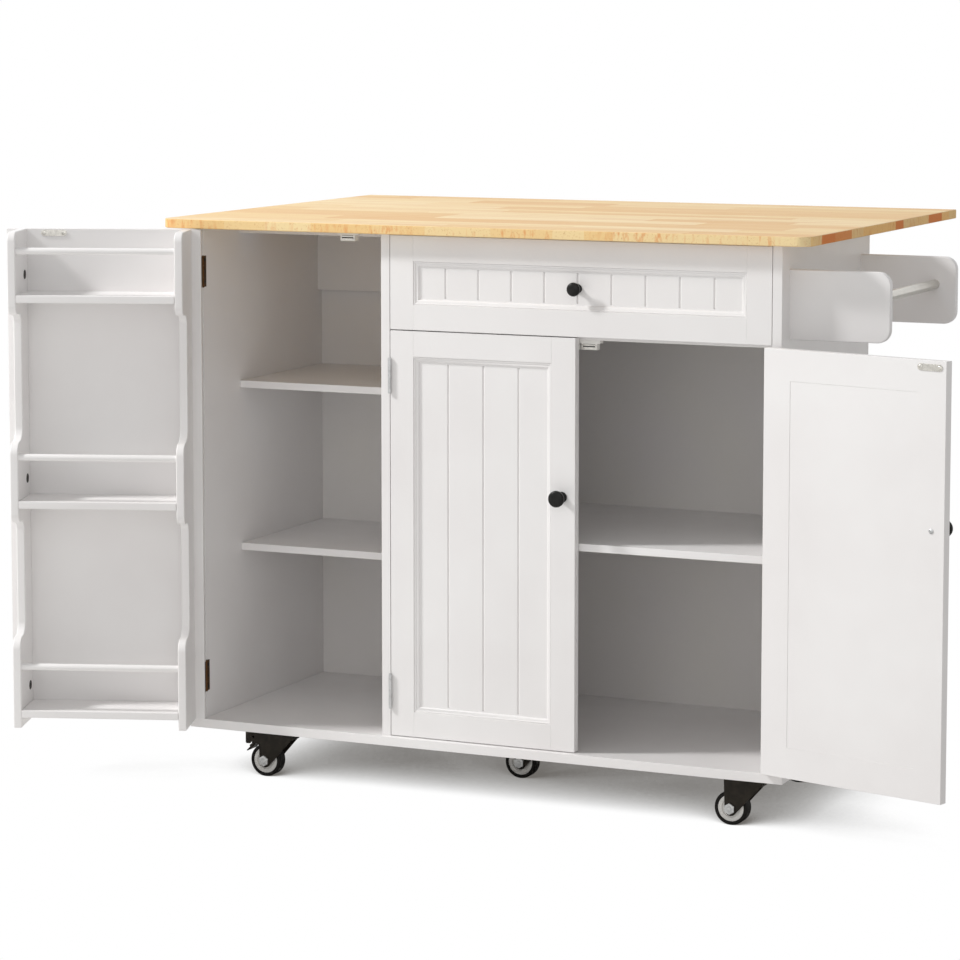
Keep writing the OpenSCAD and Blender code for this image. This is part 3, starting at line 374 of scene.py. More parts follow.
def finish(name):
    """The material of that name, made the first time it is asked for."""
    if name not in FINISHED:
        scene = bpy.context.scene
        paint, metal, caster = scene.cart_paint, scene.cart_hardware, scene.cart_casters
        maker, *values = {
            "paint": (lacquered_mdf, paint),
            "foil": (foiled_board, paint),
            "staves": (oiled_staves, scene.cart_worktop),
            "zinc": (plated_steel, "zinc_plated_steel", metal.zinc, 0.36, 1100.0),
            "nickel": (plated_steel, "nickel_plated_steel", metal.nickel, 0.26, 1500.0),
            "bronze": (plated_steel, "bronze_plated_steel", metal.bronze, 0.42, 900.0),
            # Nearly black steel, for the rack's cams and the spice hinges' screws
            "dark zinc": (plated_steel, "blackened_steel", (0.05, 0.045, 0.04), 0.4, 900.0),
            "knob": (coated_black, "black_lacquered_zinc", metal.black, 0.3, 1400.0),
            "coat": (coated_black, "black_coated_steel", metal.coat, 0.42, 900.0),
            "catch": (moulded_plastic, "white_abs", metal.plastic, 0.36, 1700.0),
            "hub": (moulded_plastic, "grey_polypropylene", caster.grey, 0.42, 1500.0),
            "ferrite": (moulded_plastic, "ferrite_magnet", (0.06, 0.058, 0.055), 0.55, 1100.0),
            "tyre": (tyre_rubber, caster.rubber),
            "rod": (brushed_rod, metal.nickel),
        }[name]
        FINISHED[name] = maker(*values)
    return FINISHED[name]


# Modelling


def let_go():
    """Selects nothing, so that the next operator acts on the new piece alone."""
    bpy.ops.object.select_all(action="DESELECT")


def hold(*pieces):
    """Selects these pieces alone, the first one active."""
    let_go()
    for piece in pieces:
        piece.select_set(True)
    bpy.context.view_layer.objects.active = pieces[0]
    return pieces[0]


@contextmanager
def editing(piece):
    """Edit mode on one piece."""
    hold(piece)
    bpy.ops.object.mode_set(mode="EDIT")
    yield piece
    bpy.ops.object.mode_set(mode="OBJECT")


def pick(piece, kind, test):
    """Selects the corners, edges or faces for which the test holds, and says how many."""
    bpy.ops.mesh.select_mode(type={"verts": "VERT", "edges": "EDGE", "faces": "FACE"}[kind])
    bpy.ops.mesh.select_all(action="DESELECT")
    mesh = bmesh.from_edit_mesh(piece.data)
    mesh.normal_update()
    found = [part for part in getattr(mesh, kind) if test(part)]
    for part in found:
        part.select_set(True)
    mesh.select_flush_mode()
    bmesh.update_edit_mesh(piece.data)
    return len(found)


def cut_at(axis, spot):
    """Cuts the selected faces across an axis, 0 for X to 2 for Z, at that place."""
    bpy.ops.mesh.bisect(plane_co=[spot if i == axis else 0.0 for i in range(3)],
                        plane_no=[float(i == axis) for i in range(3)])


def push(x, y, z):
    """Extrudes what is selected that far."""
    bpy.ops.mesh.extrude_region_move(TRANSFORM_OT_translate={"value": (x, y, z)})


def close_up(gap=0.0):
    """Merges corners that lie within the gap and turns all faces outwards."""
    bpy.ops.mesh.select_all(action="SELECT")
    if gap:
        bpy.ops.mesh.remove_doubles(threshold=gap)
    bpy.ops.mesh.normals_make_consistent(inside=False)


def middle(edge):
    return (edge.verts[0].co + edge.verts[1].co) / 2


def sharp(edge, least=40.0):
    """Whether an edge turns by more than that many degrees."""
    return len(edge.link_faces) == 2 and edge.calc_face_angle(0.0) > math.radians(least)


def runs(edge, axis):
    """Whether an edge runs along an axis, 0 for X to 2 for Z."""
    return abs(edge.verts[0].co[axis] - edge.verts[1].co[axis]) > 1 * MM


def block(name, low, high):
    """A block between two corners, ready to be shaped."""
    low, high = Vector(low), Vector(high)
    let_go()
    bpy.ops.mesh.primitive_cube_add(size=1.0, location=(low + high) / 2, scale=high - low)
    piece = bpy.context.object
    piece.name = piece.data.name = name
    bpy.ops.object.transform_apply(location=True, rotation=True, scale=True)
    return piece


def ease(piece, width, segments=3, test=sharp):
    """Rounds the edges for which the test holds."""
    with editing(piece):
        if pick(piece, "edges", test):
            bpy.ops.mesh.bevel(offset=width, segments=segments, affect="EDGES", clamp_overlap=False)
    return piece


def smooth(piece, angle=38.0):
    """Smooth shading that keeps flat faces flat beside their rounded edges."""
    hold(piece)
    bpy.ops.object.shade_smooth_by_angle(angle=math.radians(angle))
    piece.modifiers.new("flats", "WEIGHTED_NORMAL").keep_sharp = True
    bpy.ops.object.modifier_apply(modifier="flats")
    return piece


def traced(name, points, closed=True):
    """A line through the points, drawn by extruding one corner from each point to the next."""
    let_go()
    bpy.ops.mesh.primitive_plane_add(size=MM)
    piece = bpy.context.object
    piece.name = piece.data.name = name
    with editing(piece):
        bpy.ops.mesh.select_mode(type="VERT")
        bpy.ops.mesh.select_all(action="SELECT")
        bpy.ops.mesh.merge(type="CENTER")
        bpy.ops.transform.translate(value=points[0])
        for start, end in zip(points, points[1:]):
            bpy.ops.mesh.extrude_vertices_move(TRANSFORM_OT_translate={"value": Vector(end) - Vector(start)})
        if closed:
            bpy.ops.mesh.select_all(action="SELECT")
            bpy.ops.mesh.edge_face_add()
    return piece


def turned(name, profile, steps):
    """A turned piece about Z: profile gives its radius and height from foot to top, in millimetres."""
    piece = traced(name, [mm(r, 0.0, z) for r, z in profile], closed=False)
    with editing(piece):
        bpy.ops.mesh.select_all(action="SELECT")
        bpy.ops.mesh.spin(steps=steps, angle=TURN, center=(0, 0, 0), axis=(0, 0, 1))
        close_up(2e-6)
    return piece


def rod(name, radius, half, across, along, steps):
    """A round rod along Z of twice half, its ends eased across and along, in millimetres."""
    return turned(name, [(0, -half), (radius - across, -half), (radius, -half + along), (radius, half - along),
                         (radius - across, half), (0, half)], steps)


def outlined(name, points, thick):
    """A board with that outline, given its thickness by a push along X."""
    piece = traced(name, points)
    with editing(piece):
        bpy.ops.mesh.select_all(action="SELECT")
        push(thick, 0, 0)
        close_up()
    return piece


def set_down(piece, matrix):
    """Moves a piece to its place and leaves its object at the origin."""
    hold(piece)
    piece.matrix_world = matrix
    bpy.ops.object.transform_apply(location=True, rotation=True, scale=True)
    return piece


def copied(piece, name):
    """A copy of a piece with a mesh of its own."""
    new = piece.copy()
    new.data = piece.data.copy()
    new.name = new.data.name = name
    bpy.context.scene.collection.objects.link(new)
    return new


def joined(name, pieces):
    """Several pieces as one."""
    piece = hold(*pieces)
    if len(pieces) > 1:
        bpy.ops.object.join()
    piece.name = piece.data.name = name
    return piece


def cut_away(piece, cutter):
    """Cuts one piece with another and puts the cutter away."""
    hold(piece)
    cut = piece.modifiers.new("cut", "BOOLEAN")
    cut.object, cut.operation, cut.solver = cutter, "DIFFERENCE", "EXACT"
    bpy.ops.object.modifier_apply(modifier="cut")
    bpy.data.objects.remove(cutter)
    return piece


def solids_of(node):
    """Merged copies of a node's solids, largest first, each an object of its own."""
    piece = bpy.data.objects.new("copy", frame["nodes"][node].data.copy())
    bpy.context.scene.collection.objects.link(piece)
    piece.data.materials.clear()
    with editing(piece):
        bpy.ops.mesh.select_all(action="SELECT")
        bpy.ops.mesh.remove_doubles(threshold=1e-5)
        bpy.ops.mesh.dissolve_limited(angle_limit=math.radians(0.5))
        bpy.ops.mesh.separate(type="LOOSE")
    bpy.ops.mesh.customdata_custom_splitnormals_clear()
    found = list(bpy.context.selected_objects)

    def bulk(part):
        return math.prod(end - start for start, end in zip(*extent(part)))
    for part in found:
        part.data = part.data.copy()
    return sorted(found, key=bulk, reverse=True)


def extent(piece):
    """The low and high corner of a piece's mesh."""
    return [Vector([end(v.co[i] for v in piece.data.vertices) for i in range(3)]) for end in (min, max)]


def rounded_copy(name, node, width, segments, least):
    """The solids of a node as one piece with rounded edges; edges shorter than least millimetres stay sharp."""
    return ease(joined(name, solids_of(node)), width * MM, segments,
                lambda edge: sharp(edge) and edge.calc_length() > least * MM)


def stand_in(piece, look, node):
    """Gives a finished piece its material and its body, and hides the node that it stands for."""
    smooth(piece)
    piece.data.materials.clear()
    piece.data.materials.append(finish(look))
    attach(piece, BODY[node])
    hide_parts(node)
    return piece


def softened(look, slot, *rows):
    """Rounded copies: each row gives name, node, rounding, segments and the shortest edge that is rounded."""
    for name, node, width, segments, least in rows:
        stand_in(rounded_copy(name, node, width, segments, least), look, node)


def screw_head(radius, height, sunk=False):
    """A cross-head screw seen from above: a domed or a countersunk head with its recess cut in."""
    if sunk:
        profile = [(0.0, -0.6), (0.6 * radius, -0.6), (radius, -0.1), (radius, 0.0), (0.5 * radius, 0.06),
                   (0.0, 0.08)]
    else:
        profile = [(0.0, 0.0), (radius, 0.0), (radius, 0.25 * height), (0.8 * radius, 0.75 * height),
                   (0.4 * radius, 0.97 * height), (0.0, height)]
    head = turned("screw head", profile, 16)
    arm, wing, deep = 0.62 * radius, 0.13 * radius, 0.5 * max(height, 0.8)
    top = 0.1 if sunk else height
    for x, y in ((arm, wing), (wing, arm)):
        cut_away(head, block("slot", mm(-x, -y, top - deep), mm(x, y, top + 1.0)))
    return head


def screws(name, spots, radius, height, sunk=False):
    """One head copied to each spot; a spot is a matrix that carries Z to the way the head faces."""
    head = screw_head(radius, height, sunk)
    heads = [set_down(copied(head, "screw"), spot) for spot in spots]
    bpy.data.objects.remove(head)
    return joined(name, heads)


def facing(point, direction, spin=0.0):
    """A matrix that stands a piece at a point with its Z axis along the direction."""
    turn = Vector(direction).to_track_quat("Z", "Y").to_matrix().to_4x4()
    return Matrix.Translation(point) @ turn @ Matrix.Rotation(spin, 4, "Z")


# Doors: a piece is drawn with its door closed and its hinge pin at the origin, then hung


class DoorLeaf:
    """Where a door hangs: its pin, the side it opens to and how far it stands open."""

    def __init__(self, joint, side):
        pin, limits = JOINTS[joint]["pos_m"], JOINTS[joint]["range_deg"]
        self.side = side
        self.hang = (Matrix.Translation((pin[0], pin[1], 0.0))
                     @ Matrix.Rotation(math.radians(-limits[1 if side > 0 else 0]), 4, "Z"))

    def span(self, u0, u1):
        """Two distances from the pin, in metres, as the low and high X of the closed door."""
        return sorted((self.side * u0, self.side * u1))

    def spot(self, u, v, z, way, spin=0.0):
        """A place on the door in millimetres, facing forwards (-1) or backwards (1) on the closed door."""
        return self.hang @ facing(mm(self.side * u, v, z), (0, way, 0), spin)


SPICE = DoorLeaf("spice_door_hinge", 1)
MIDDLE = DoorLeaf("middle_door_hinge", 1)
RIGHT = DoorLeaf("right_door_hinge", -1)


def door_sizes():
    """Width, front, back, lowest and highest of the panelled doors, counted from their pins."""
    pin = JOINTS["middle_door_hinge"]["pos_m"]
    low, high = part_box("middle_door_frame")
    return high.x - pin[0], low.y - pin[1], high.y - pin[1], low.z, high.z


# The moulding from the flat of the frame down to the panel: width and fall of each step, in millimetres
MOULDING = [(0.2, 1.5), (0.5, 0.1), (0.4, -0.4), (0.7, -0.1), (0.8, 0.15), (0.5, 0.35), (0.25, 0.7),
            (1.6, 0.35), (1.5, 0.6), (0.9, 0.7), (0.7, 0.9), (0.5, 0.95), (2.45, 0.05)]
MOULDED = sum(fall for _, fall in MOULDING) * MM


def mould(across, down):
    """Steps the selected face in along the moulding, as shares of its width and of its fall."""
    for wide, fall in MOULDING:
        bpy.ops.mesh.inset(thickness=across * wide * MM, depth=-down * fall * MM)


def moulded_frame(name, low, high, doors, edge):
    """A frame with eased edges, a moulding that falls towards the panel, and a rebate behind it."""
    low, high = Vector(low), Vector(high)
    piece = ease(block(name, low, high), edge, 3)
    inner = doors.stile + doors.mould
    rebate = inner - doors.lap
    wide, _, tall = high - low
    with editing(piece):
        pick(piece, "faces", lambda f: f.normal.y < -0.99 and f.calc_area() > 0.01)
        bpy.ops.mesh.inset(thickness=doors.stile - edge, depth=0.0)
        mould(1.0, 1.0)
        push(0, doors.depth - MOULDED, 0)
        push(0, 0, 0)
        bpy.ops.transform.resize(center_override=(low + high) / 2, value=(
            (wide - 2 * rebate) / (wide - 2 * inner), 1.0, (tall - 2 * rebate) / (tall - 2 * inner)))
        push(0, high.y - low.y - doors.depth, 0)
        bpy.ops.mesh.delete(type="FACE")
        pick(piece, "faces", lambda f: f.normal.y > 0.99 and f.calc_area() > 0.01)
        bpy.ops.mesh.inset(thickness=rebate - edge, depth=0.0)
        bpy.ops.mesh.delete(type="FACE")
        close_up(2e-5)
        pick(piece, "edges", lambda e: all(v.co.y > high.y - NEAR for v in e.verts) and sharp(e)
             and low.x + rebate - 1e-4 < middle(e).x < high.x - rebate + 1e-4
             and low.z + rebate - 1e-4 < middle(e).z < high.z - rebate + 1e-4)
        bpy.ops.mesh.bevel(offset=0.2 * MM, segments=2, affect="EDGES")
        # The stiles meet the rails in a hair joint
        hair = 0.3 * MM
        for x in (low.x + doors.stile, high.x - doors.stile):
            for step in (-1, 0, 1):
                pick(piece, "faces", lambda f: f.normal.y < -0.99
                     and abs(f.calc_center_median().y - low.y) < NEAR)
                cut_at(0, x + step * hair)
            pick(piece, "verts", lambda v: abs(v.co.y - low.y) < NEAR and abs(v.co.x - x) < NEAR)
            bpy.ops.transform.translate(value=(0, hair, 0))
    return piece


def cut_grooves(piece, xs, front, half):
    """Presses an upright V-groove with soft shoulders into the front face at each x."""
    with editing(piece):
        for x in xs:
            for step in (-1, 0, 1):
                pick(piece, "faces", lambda f: True)
                cut_at(0, x + step * half)
        pick(piece, "verts", lambda v: v.co.y < front + NEAR and any(abs(v.co.x - x) < NEAR for x in xs))
        bpy.ops.transform.translate(value=(0, half, 0))
        pick(piece, "edges", lambda e: all(v.co.y < front + NEAR for v in e.verts)
             and any(abs(abs(middle(e).x - x) - half) < NEAR for x in xs) and sharp(e, 20.0))
        bpy.ops.mesh.bevel(offset=0.45 * MM, segments=2, affect="EDGES")
    return piece


def groove_lines(centre, width, pitch, doors):
    """Where the grooves run, from the middle of a panel outwards."""
    count = int((width / 2 - doors.stile - doors.mould) / pitch)
    return [centre + k * pitch for k in range(-count, count + 1)]


def beaded_panel(name, low, high, doors, pitch):
    """The panel behind a frame, with its grooves."""
    inset = doors.stile + doors.mould - doors.lap + 0.05 * MM
    piece = block(name, (low[0] + inset, low[1] + doors.depth, low[2] + inset),
                  (high[0] - inset, high[1] - 0.5 * MM, high[2] - inset))
    lines = groove_lines((low[0] + high[0]) / 2, high[0] - low[0], pitch, doors)
    return cut_grooves(piece, lines, low[1] + doors.depth, doors.groove / 2)


def hinge_reach():
    """How far the hinges reach into the cabinet behind their pins."""
    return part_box("spice_hinge_fixed")[1].y - JOINTS["spice_door_hinge"]["pos_m"][1]


def hinge_notch(leaf, z0, tall):
    """The cutter for a hinge's recess in the edge of a door, with 0.2 mm to spare all round."""
    u = leaf.span(-1 * MM, 0.8 * MM)
    return block("notch", (u[0], 2 * MM, z0 - 0.2 * MM), (u[1], hinge_reach() + 0.2 * MM, z0 + tall + 0.2 * MM))


def hinge_spots(node):
    """The lower end and the height of the two hinges in a node."""
    low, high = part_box(node)
    tall = (50 if node.startswith("spice") else 55) * MM
    return [(low.z, tall), (high.z - tall, tall)]


def knob(name, radius, reach):
    """A turned mushroom knob on its broad foot, with the lip under its head."""
    r, out = radius / MM, reach / MM
    dome = [(r - 4 + 4 * math.cos(a), out - 5 + 4 * math.sin(a)) for a in
            [math.radians(d) for d in range(0, 71, 10)]]
    face = [(r - 4, out - 0.75), (0.45 * r, out - 0.2), (0.0, out)]
    foot = [(0, 0), (0.63 * r, 0), (0.66 * r, 0.3), (0.66 * r, 1.0), (0.62 * r, 1.7), (0.5 * r, 2.8)]
    neck = [(0.4 * r, 0.17 * out), (0.36 * r, 0.28 * out), (0.36 * r, 0.46 * out), (0.4 * r, 0.55 * out)]
    lip = [(0.58 * r, out - 10.2), (r - 2.2, out - 9.2), (r - 0.9, out - 8.4), (r - 0.2, out - 7.2)]
    return turned(name, foot + neck + lip + dome + face, 56)


# Operators, one for each group of pieces


# In metres: lengths of the first stave at the left, of the others and of the blocks on the long edges
FIRST = (0.05, 0.4)
STAVES = (0.22, 0.52)
BLOCKS = (0.03, 0.12)
# How near to the right end the last stave and the last block may begin
LAST_STAVE = 0.06
LAST_BLOCK = 0.08


class CART_OT_worktop(Operator):
    """The worktop and its drop leaf, glued from staves"""
    bl_idname = "cart.worktop"
    bl_label = "Worktop and leaf"

    def execute(self, context):
        wood = context.scene.cart_worktop
        for name, node, corner, seed in (("worktop_staves", "worktop", wood.corner, 11),
                                         ("leaf_staves", "drop_leaf", 0.0, 5)):
            low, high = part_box(node)
            piece = block(name, low, high)
            if corner:
                ease(piece, corner, 10, lambda e: middle(e).y < low.y + NEAR and runs(e, 2))
            ease(piece, wood.edge)
            self.glue(piece, low, high, wood, Random(seed))
            stand_in(piece, "staves", node)
        return {"FINISHED"}

    def glue(self, piece, low, high, wood, chance):
        """Cuts the board into staves of uneven width and length and gives each its tone."""
        rows, y = [low.y], low.y
        while high.y - y > wood.wide + wood.narrow:
            y += wood.narrow + (wood.wide - wood.narrow) * chance.random() ** 0.8
            rows.append(y)
        rows += [(rows[-1] + high.y) / 2, high.y]
        staves = []
        with editing(piece):
            for y in rows[1:-1]:
                pick(piece, "faces", lambda f: True)
                cut_at(1, y)
            for y0, y1 in zip(rows, rows[1:]):
                x, cuts = low.x + chance.uniform(*FIRST), [low.x]
                while x < high.x - LAST_STAVE:
                    pick(piece, "faces", lambda f: y0 < f.calc_center_median().y < y1)
                    cut_at(0, x)
                    cuts.append(x)
                    x += chance.uniform(*STAVES)
                cuts.append(high.x)
                staves += [(y0, y1, a, b, chance.random(), chance.random()) for a, b in zip(cuts, cuts[1:])]
            # The long edges show a block for each short piece that the outer staves are jointed from
            joints = [low.x]
            while joints[-1] < high.x - LAST_BLOCK:
                joints.append(joints[-1] + chance.uniform(*BLOCKS))
                pick(piece, "faces", lambda f: abs(f.normal.y) > 0.8)
                cut_at(0, joints[-1])
            joints.append(high.x)
            blocks = [(a, b, 0.45 * chance.random(), chance.random()) for a, b in zip(joints, joints[1:])]
        grain = piece.data.color_attributes.new(name="stave", type="FLOAT_COLOR", domain="CORNER")
        for face in piece.data.polygons:
            # The faces of the edges lie just outside the staves' limits
            x = min(max(face.center.x, low.x + 1e-4), high.x - 1e-4)
            y = min(max(face.center.y, low.y + 1e-4), high.y - 1e-4)
            tone, seed = next(s[4:] for s in staves if s[0] <= y <= s[1] and s[2] <= x <= s[3])
            if abs(face.normal.y) > 0.5:
                tone, seed = next(b[2:] for b in blocks if b[0] <= x <= b[1])
            elif abs(face.normal.x) > 0.5:
                # The ramp of the sawn ends is red between 0.7 and 0.8
                tone = 0.55 + 0.45 * tone
            sawn = 1.0 if abs(face.normal.z) < 0.7 else 0.0
            for corner in face.loop_indices:
                grain.data[corner].color = (tone, seed, sawn, 1.0)


class CART_OT_carcass(Operator):
    """The cabinet's boards, shelves and rails"""
    bl_idname = "cart.carcass"
    bl_label = "Cabinet"

    def execute(self, context):
        edge = context.scene.cart_paint.edge / MM
        for name, node, look in (
                ("left_side", "left_side_panel", "paint"), ("right_side", "right_side_panel", "paint"),
                ("upright", "divider", "paint"), ("back_board", "back_panel", "foil"),
                ("base_board", "base_panel", "paint"), ("rails_under_top", "top_rails", "paint"),
                ("rails_behind", "rear_rails", "paint"), ("rail_over_doors", "middle_rail", "paint"),
                ("shelves_left", "left_shelves", "paint"), ("shelf_right", "right_shelf", "paint")):
            softened(look, "painted_board", (name, node, 0.4 if look == "foil" else edge, 3, 14.0))
        softened("zinc", "zinc_steel", ("shelf_supports", "shelf_pins", 0.25, 2, 1.4))
        return {"FINISHED"}


class CART_OT_panelled_doors(Operator):
    """The two panelled doors: frame, moulding and grooved panel"""
    bl_idname = "cart.panelled_doors"
    bl_label = "Panelled doors"

    def execute(self, context):
        doors, edge = context.scene.cart_doors, context.scene.cart_paint.edge
        width, front, back, bottom, top = door_sizes()
        for leaf, word in ((MIDDLE, "middle"), (RIGHT, "right")):
            x = leaf.span(0.0, width)
            low, high = (x[0], front, bottom), (x[1], back, top)
            rim = moulded_frame(word + "_door_rim", low, high, doors, edge)
            for z0, tall in hinge_spots(word + "_hinge_fixed"):
                cut_away(rim, hinge_notch(leaf, z0, tall))
            stand_in(set_down(rim, leaf.hang), "paint", word + "_door_frame")
            panel = beaded_panel(word + "_door_boards", low, high, doors, doors.pitch)
            stand_in(set_down(panel, leaf.hang), "paint", word + "_door_panel")
        return {"FINISHED"}


class CART_OT_spice_door(Operator):
    """The tall door with its routed outer face"""
    bl_idname = "cart.spice_door"
    bl_label = "Spice door"

    def execute(self, context):
        doors, edge = context.scene.cart_doors, context.scene.cart_paint.edge
        _, front, back, bottom, _ = door_sizes()
        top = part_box("spice_door")[1].z
        width = doors.spice_width
        piece = ease(block("spice_door_board", (0.0, front, bottom), (width, back, top)), edge)
        # The routed moulding is half as wide as the other doors' and falls by 4 mm
        share = 4.0 * MM / MOULDED
        fallen = front + share * MOULDED
        rim = doors.stile + 0.5 * doors.mould
        half = doors.groove / 2
        lines = groove_lines(width / 2, width, doors.pitch, doors)
        with editing(piece):
            pick(piece, "faces", lambda f: f.normal.y < -0.99 and f.calc_area() > 0.01)
            bpy.ops.mesh.inset(thickness=doors.stile - edge, depth=0.0)
            mould(0.5, share)
            for x in lines:
                for step in (-1, 0, 1):
                    pick(piece, "faces", lambda f: f.normal.y < -0.99
                         and abs(f.calc_center_median().y - fallen) < NEAR)
                    cut_at(0, x + step * half)
                # The groove stops short of the moulding
                for z in (bottom + rim + 2 * MM, top - rim - 2 * MM):
                    pick(piece, "faces", lambda f: abs(f.calc_center_median().y - fallen) < NEAR
                         and abs(f.calc_center_median().x - x) < half)
                    cut_at(2, z)
            pick(piece, "verts", lambda v: abs(v.co.y - fallen) < NEAR
                 and bottom + rim + 1 * MM < v.co.z < top - rim - 1 * MM
                 and any(abs(v.co.x - x) < NEAR for x in lines))
            bpy.ops.transform.translate(value=(0, half, 0))
        for z0, tall in hinge_spots("spice_hinge_fixed"):
            cut_away(piece, hinge_notch(SPICE, z0, tall))
        stand_in(set_down(piece, SPICE.hang), "paint", "spice_door")
        return {"FINISHED"}


class CART_OT_rack(Operator):
    """The spice rack: two scalloped boards, three shelves, three round rails and their fittings"""
    bl_idname = "cart.rack"
    bl_label = "Spice rack"

    def execute(self, context):
        _, _, back, bottom, _ = door_sizes()
        back, bottom, top = back / MM, bottom / MM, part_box("spice_door")[1].z / MM
        # From the door's pin: the side boards' outer faces, and their thickness and depth
        inner, outer, thick, deep = 14.8, 295.4, 13.0, 90.0
        low, high = bottom + 29, top - 100.5
        levels = [low, low + 0.507 * (high - low), high]
        outline = self.outline(deep, bottom, top, levels)
        boards = []
        for u in (inner, outer - thick):
            board = outlined("rack board", [mm(u, back + v, z) for v, z in outline], thick * MM)
            boards.append(ease(board, 1.8 * MM, 4, lambda e: sharp(e, 60.0)))
        half = (outer - inner) / 2 - thick + 6
        shelves, rails, cams = [], [], []
        for z in levels:
            shelf = block("rack shelf", mm(inner + thick, back, z - 12), mm(outer - thick, back + deep, z))
            shelves.append(ease(shelf, 1.2 * MM))
            rail = rod("rail", 5.5, half, 0.3, 0.4, 32)
            rails.append(set_down(rail, facing(mm((inner + outer) / 2, back + deep - 8.5, z + 70), (1, 0, 0))))
            for u, way in ((inner + thick, 1), (outer - thick, -1)):
                cam = turned("cam", [(0, -1), (7.5, -1), (7.5, 0.5), (7.1, 0.8), (5.6, 0.8), (5.4, 0.3),
                                     (2.6, 0.2), (2.4, 0.6), (0, 0.6)], 32)
                cams.append(set_down(cam, facing(mm(u, back + 21, z + 28), (way, 0, 0))))
        for name, parts, look, slot, node in (
                ("rack_boards", boards, "paint", "painted_board", "rack_sides"),
                ("rack_boards_across", shelves, "paint", "painted_board", "rack_shelves"),
                ("rack_round_rails", rails, "paint", "painted_board", "rack_rails"),
                ("rack_cams", cams, "dark zinc", "black_metal", "rack_bolts")):
            stand_in(set_down(joined(name, parts), SPICE.hang), look, node)
        return {"FINISHED"}

    def outline(self, deep, bottom, top, levels):
        """The side view of a rack board, whose front steps back between the shelves."""
        big, small = 20, 15

        def arc(v, z, r, a0, a1, steps=10):
            turns = [math.radians(a0 + (a1 - a0) * i / steps) for i in range(steps + 1)]
            return [(v + r * math.cos(a), z + r * math.sin(a)) for a in turns]

        def back_in(z):
            return arc(deep - big, z, big, 0, 90) + arc(deep - big, z + 2 * big, big, 270, 180)

        def back_out(z):
            return (arc(deep - 2 * big + small, z - 2 * small, small, 180, 90)
                    + arc(deep - small, z, small, 270, 360))
        points = [(0, bottom), (deep, bottom)] + back_in(levels[0] + 98) + back_out(levels[1] - 21)
        points += back_in(levels[1] + 74) + back_out(levels[2] - 17)
        points += arc(deep - small, top - small, small, 0, 90) + [(0, top)]
        # Points that fall together are drawn once
        return [p for i, p in enumerate(points) if i == 0 or math.dist(p, points[i - 1]) > 0.05]


class CART_OT_drawer(Operator):
    """The drawer: its panelled front, box, bottom and slides"""
    bl_idname = "cart.drawer"
    bl_label = "Drawer"

    def execute(self, context):
        doors, edge = context.scene.cart_doors, context.scene.cart_paint.edge
        low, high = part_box("drawer_front")
        rim = moulded_frame("drawer_rim", low, high, doors, edge)
        stand_in(rim, "paint", "drawer_front")
        panel = beaded_panel("drawer_boards", low, high, doors, doors.drawer_pitch)
        stand_in(panel, "paint", "drawer_front_panel")
        softened("paint", "painted_board", ("drawer_sides", "drawer_box", edge / MM, 3, 11.0))
        softened("foil", "painted_board", ("drawer_floor", "drawer_bottom", 0.3, 2, 4.0))
        softened("zinc", "zinc_steel", ("slide_rails", "slides_fixed", 0.2, 2, 1.0),
                 ("slide_runners", "slides_moving", 0.2, 2, 1.0))
        return {"FINISHED"}


class CART_OT_knobs(Operator):
    """The black knobs, and the screws that hold them from behind"""
    bl_idname = "cart.knobs"
    bl_label = "Knobs"

    def execute(self, context):
        doors = context.scene.cart_doors
        width, front, back, _, _ = door_sizes()
        z = doors.knob_z / MM
        u = (width - 0.55 * doors.stile) / MM
        pattern = knob("knob", doors.knob, doors.knob_out)
        for word, leaf, along in (("middle", MIDDLE, u), ("right", RIGHT, u), ("spice", SPICE, 302.0)):
            node = word + "_fittings"
            piece = set_down(copied(pattern, word + "_knob"), leaf.spot(along, front / MM, z, -1))
            stand_in(piece, "knob", node)
            spots = [leaf.spot(along, back / MM, z, 1, 0.5)]
            stand_in(screws(word + "_knob_screw", spots, *KNOB_SCREW), "zinc", node)
        bpy.data.objects.remove(pattern)
        low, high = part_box("drawer_front")
        centre = Vector(((low.x + high.x) / 2, low.y + doors.depth, (low.z + high.z) / 2))
        piece = set_down(knob("drawer_pull", doors.pull, doors.pull_out), facing(centre, (0, -1, 0)))
        stand_in(piece, "knob", "drawer_knob")
        spots = [facing(Vector((centre.x, high.y, centre.z)), (0, 1, 0), 0.4)]
        stand_in(screws("drawer_pull_screw", spots, *KNOB_SCREW), "zinc", "drawer_knob")
        return {"FINISHED"}


class CART_OT_hinges(Operator):
    """The butt hinges of the three doors, with their screws"""
    bl_idname = "cart.hinges"
    bl_label = "Door hinges"

    def execute(self, context):
        drill = [(0, -0.62), (1.9, -0.62), (2.9, 0.02), (2.9, 1), (0, 1)]
        y = (hinge_reach() + 3.6 * MM) / 2
        for word, leaf, look, slot in (("spice", SPICE, "bronze", "bronze_steel"),
                                       ("middle", MIDDLE, "zinc", "zinc_steel"),
                                       ("right", RIGHT, "zinc", "zinc_steel")):
            closed = Matrix.Translation(leaf.hang.to_translation())
            # The screws sit at shares of a hinge's height
            for half, hang, u, way, shares in (("fixed", closed, -0.2, 1, (0.14, 0.5, 0.86)),
                                               ("moving", leaf.hang, 0.0, -1, (0.2, 0.8))):
                node = "%s_hinge_%s" % (word, half)
                piece = rounded_copy(node + "_leaf", node, 0.15, 2, 1.0)
                spots = []
                for z0, tall in hinge_spots(word + "_hinge_fixed"):
                    for share in shares:
                        point = Vector((leaf.side * u * MM, y, z0 + share * tall))
                        spots.append(hang @ facing(point, (leaf.side * way, 0, 0), 0.3 + 2 * share))
                for spot in spots:
                    cut_away(piece, set_down(turned("drill", drill, 20), spot))
                stand_in(piece, look, node)
                stand_in(screws(node + "_screws", spots, 2.8, 0.3, sunk=True),
                         "dark zinc" if word == "spice" else "zinc", node)
        return {"FINISHED"}


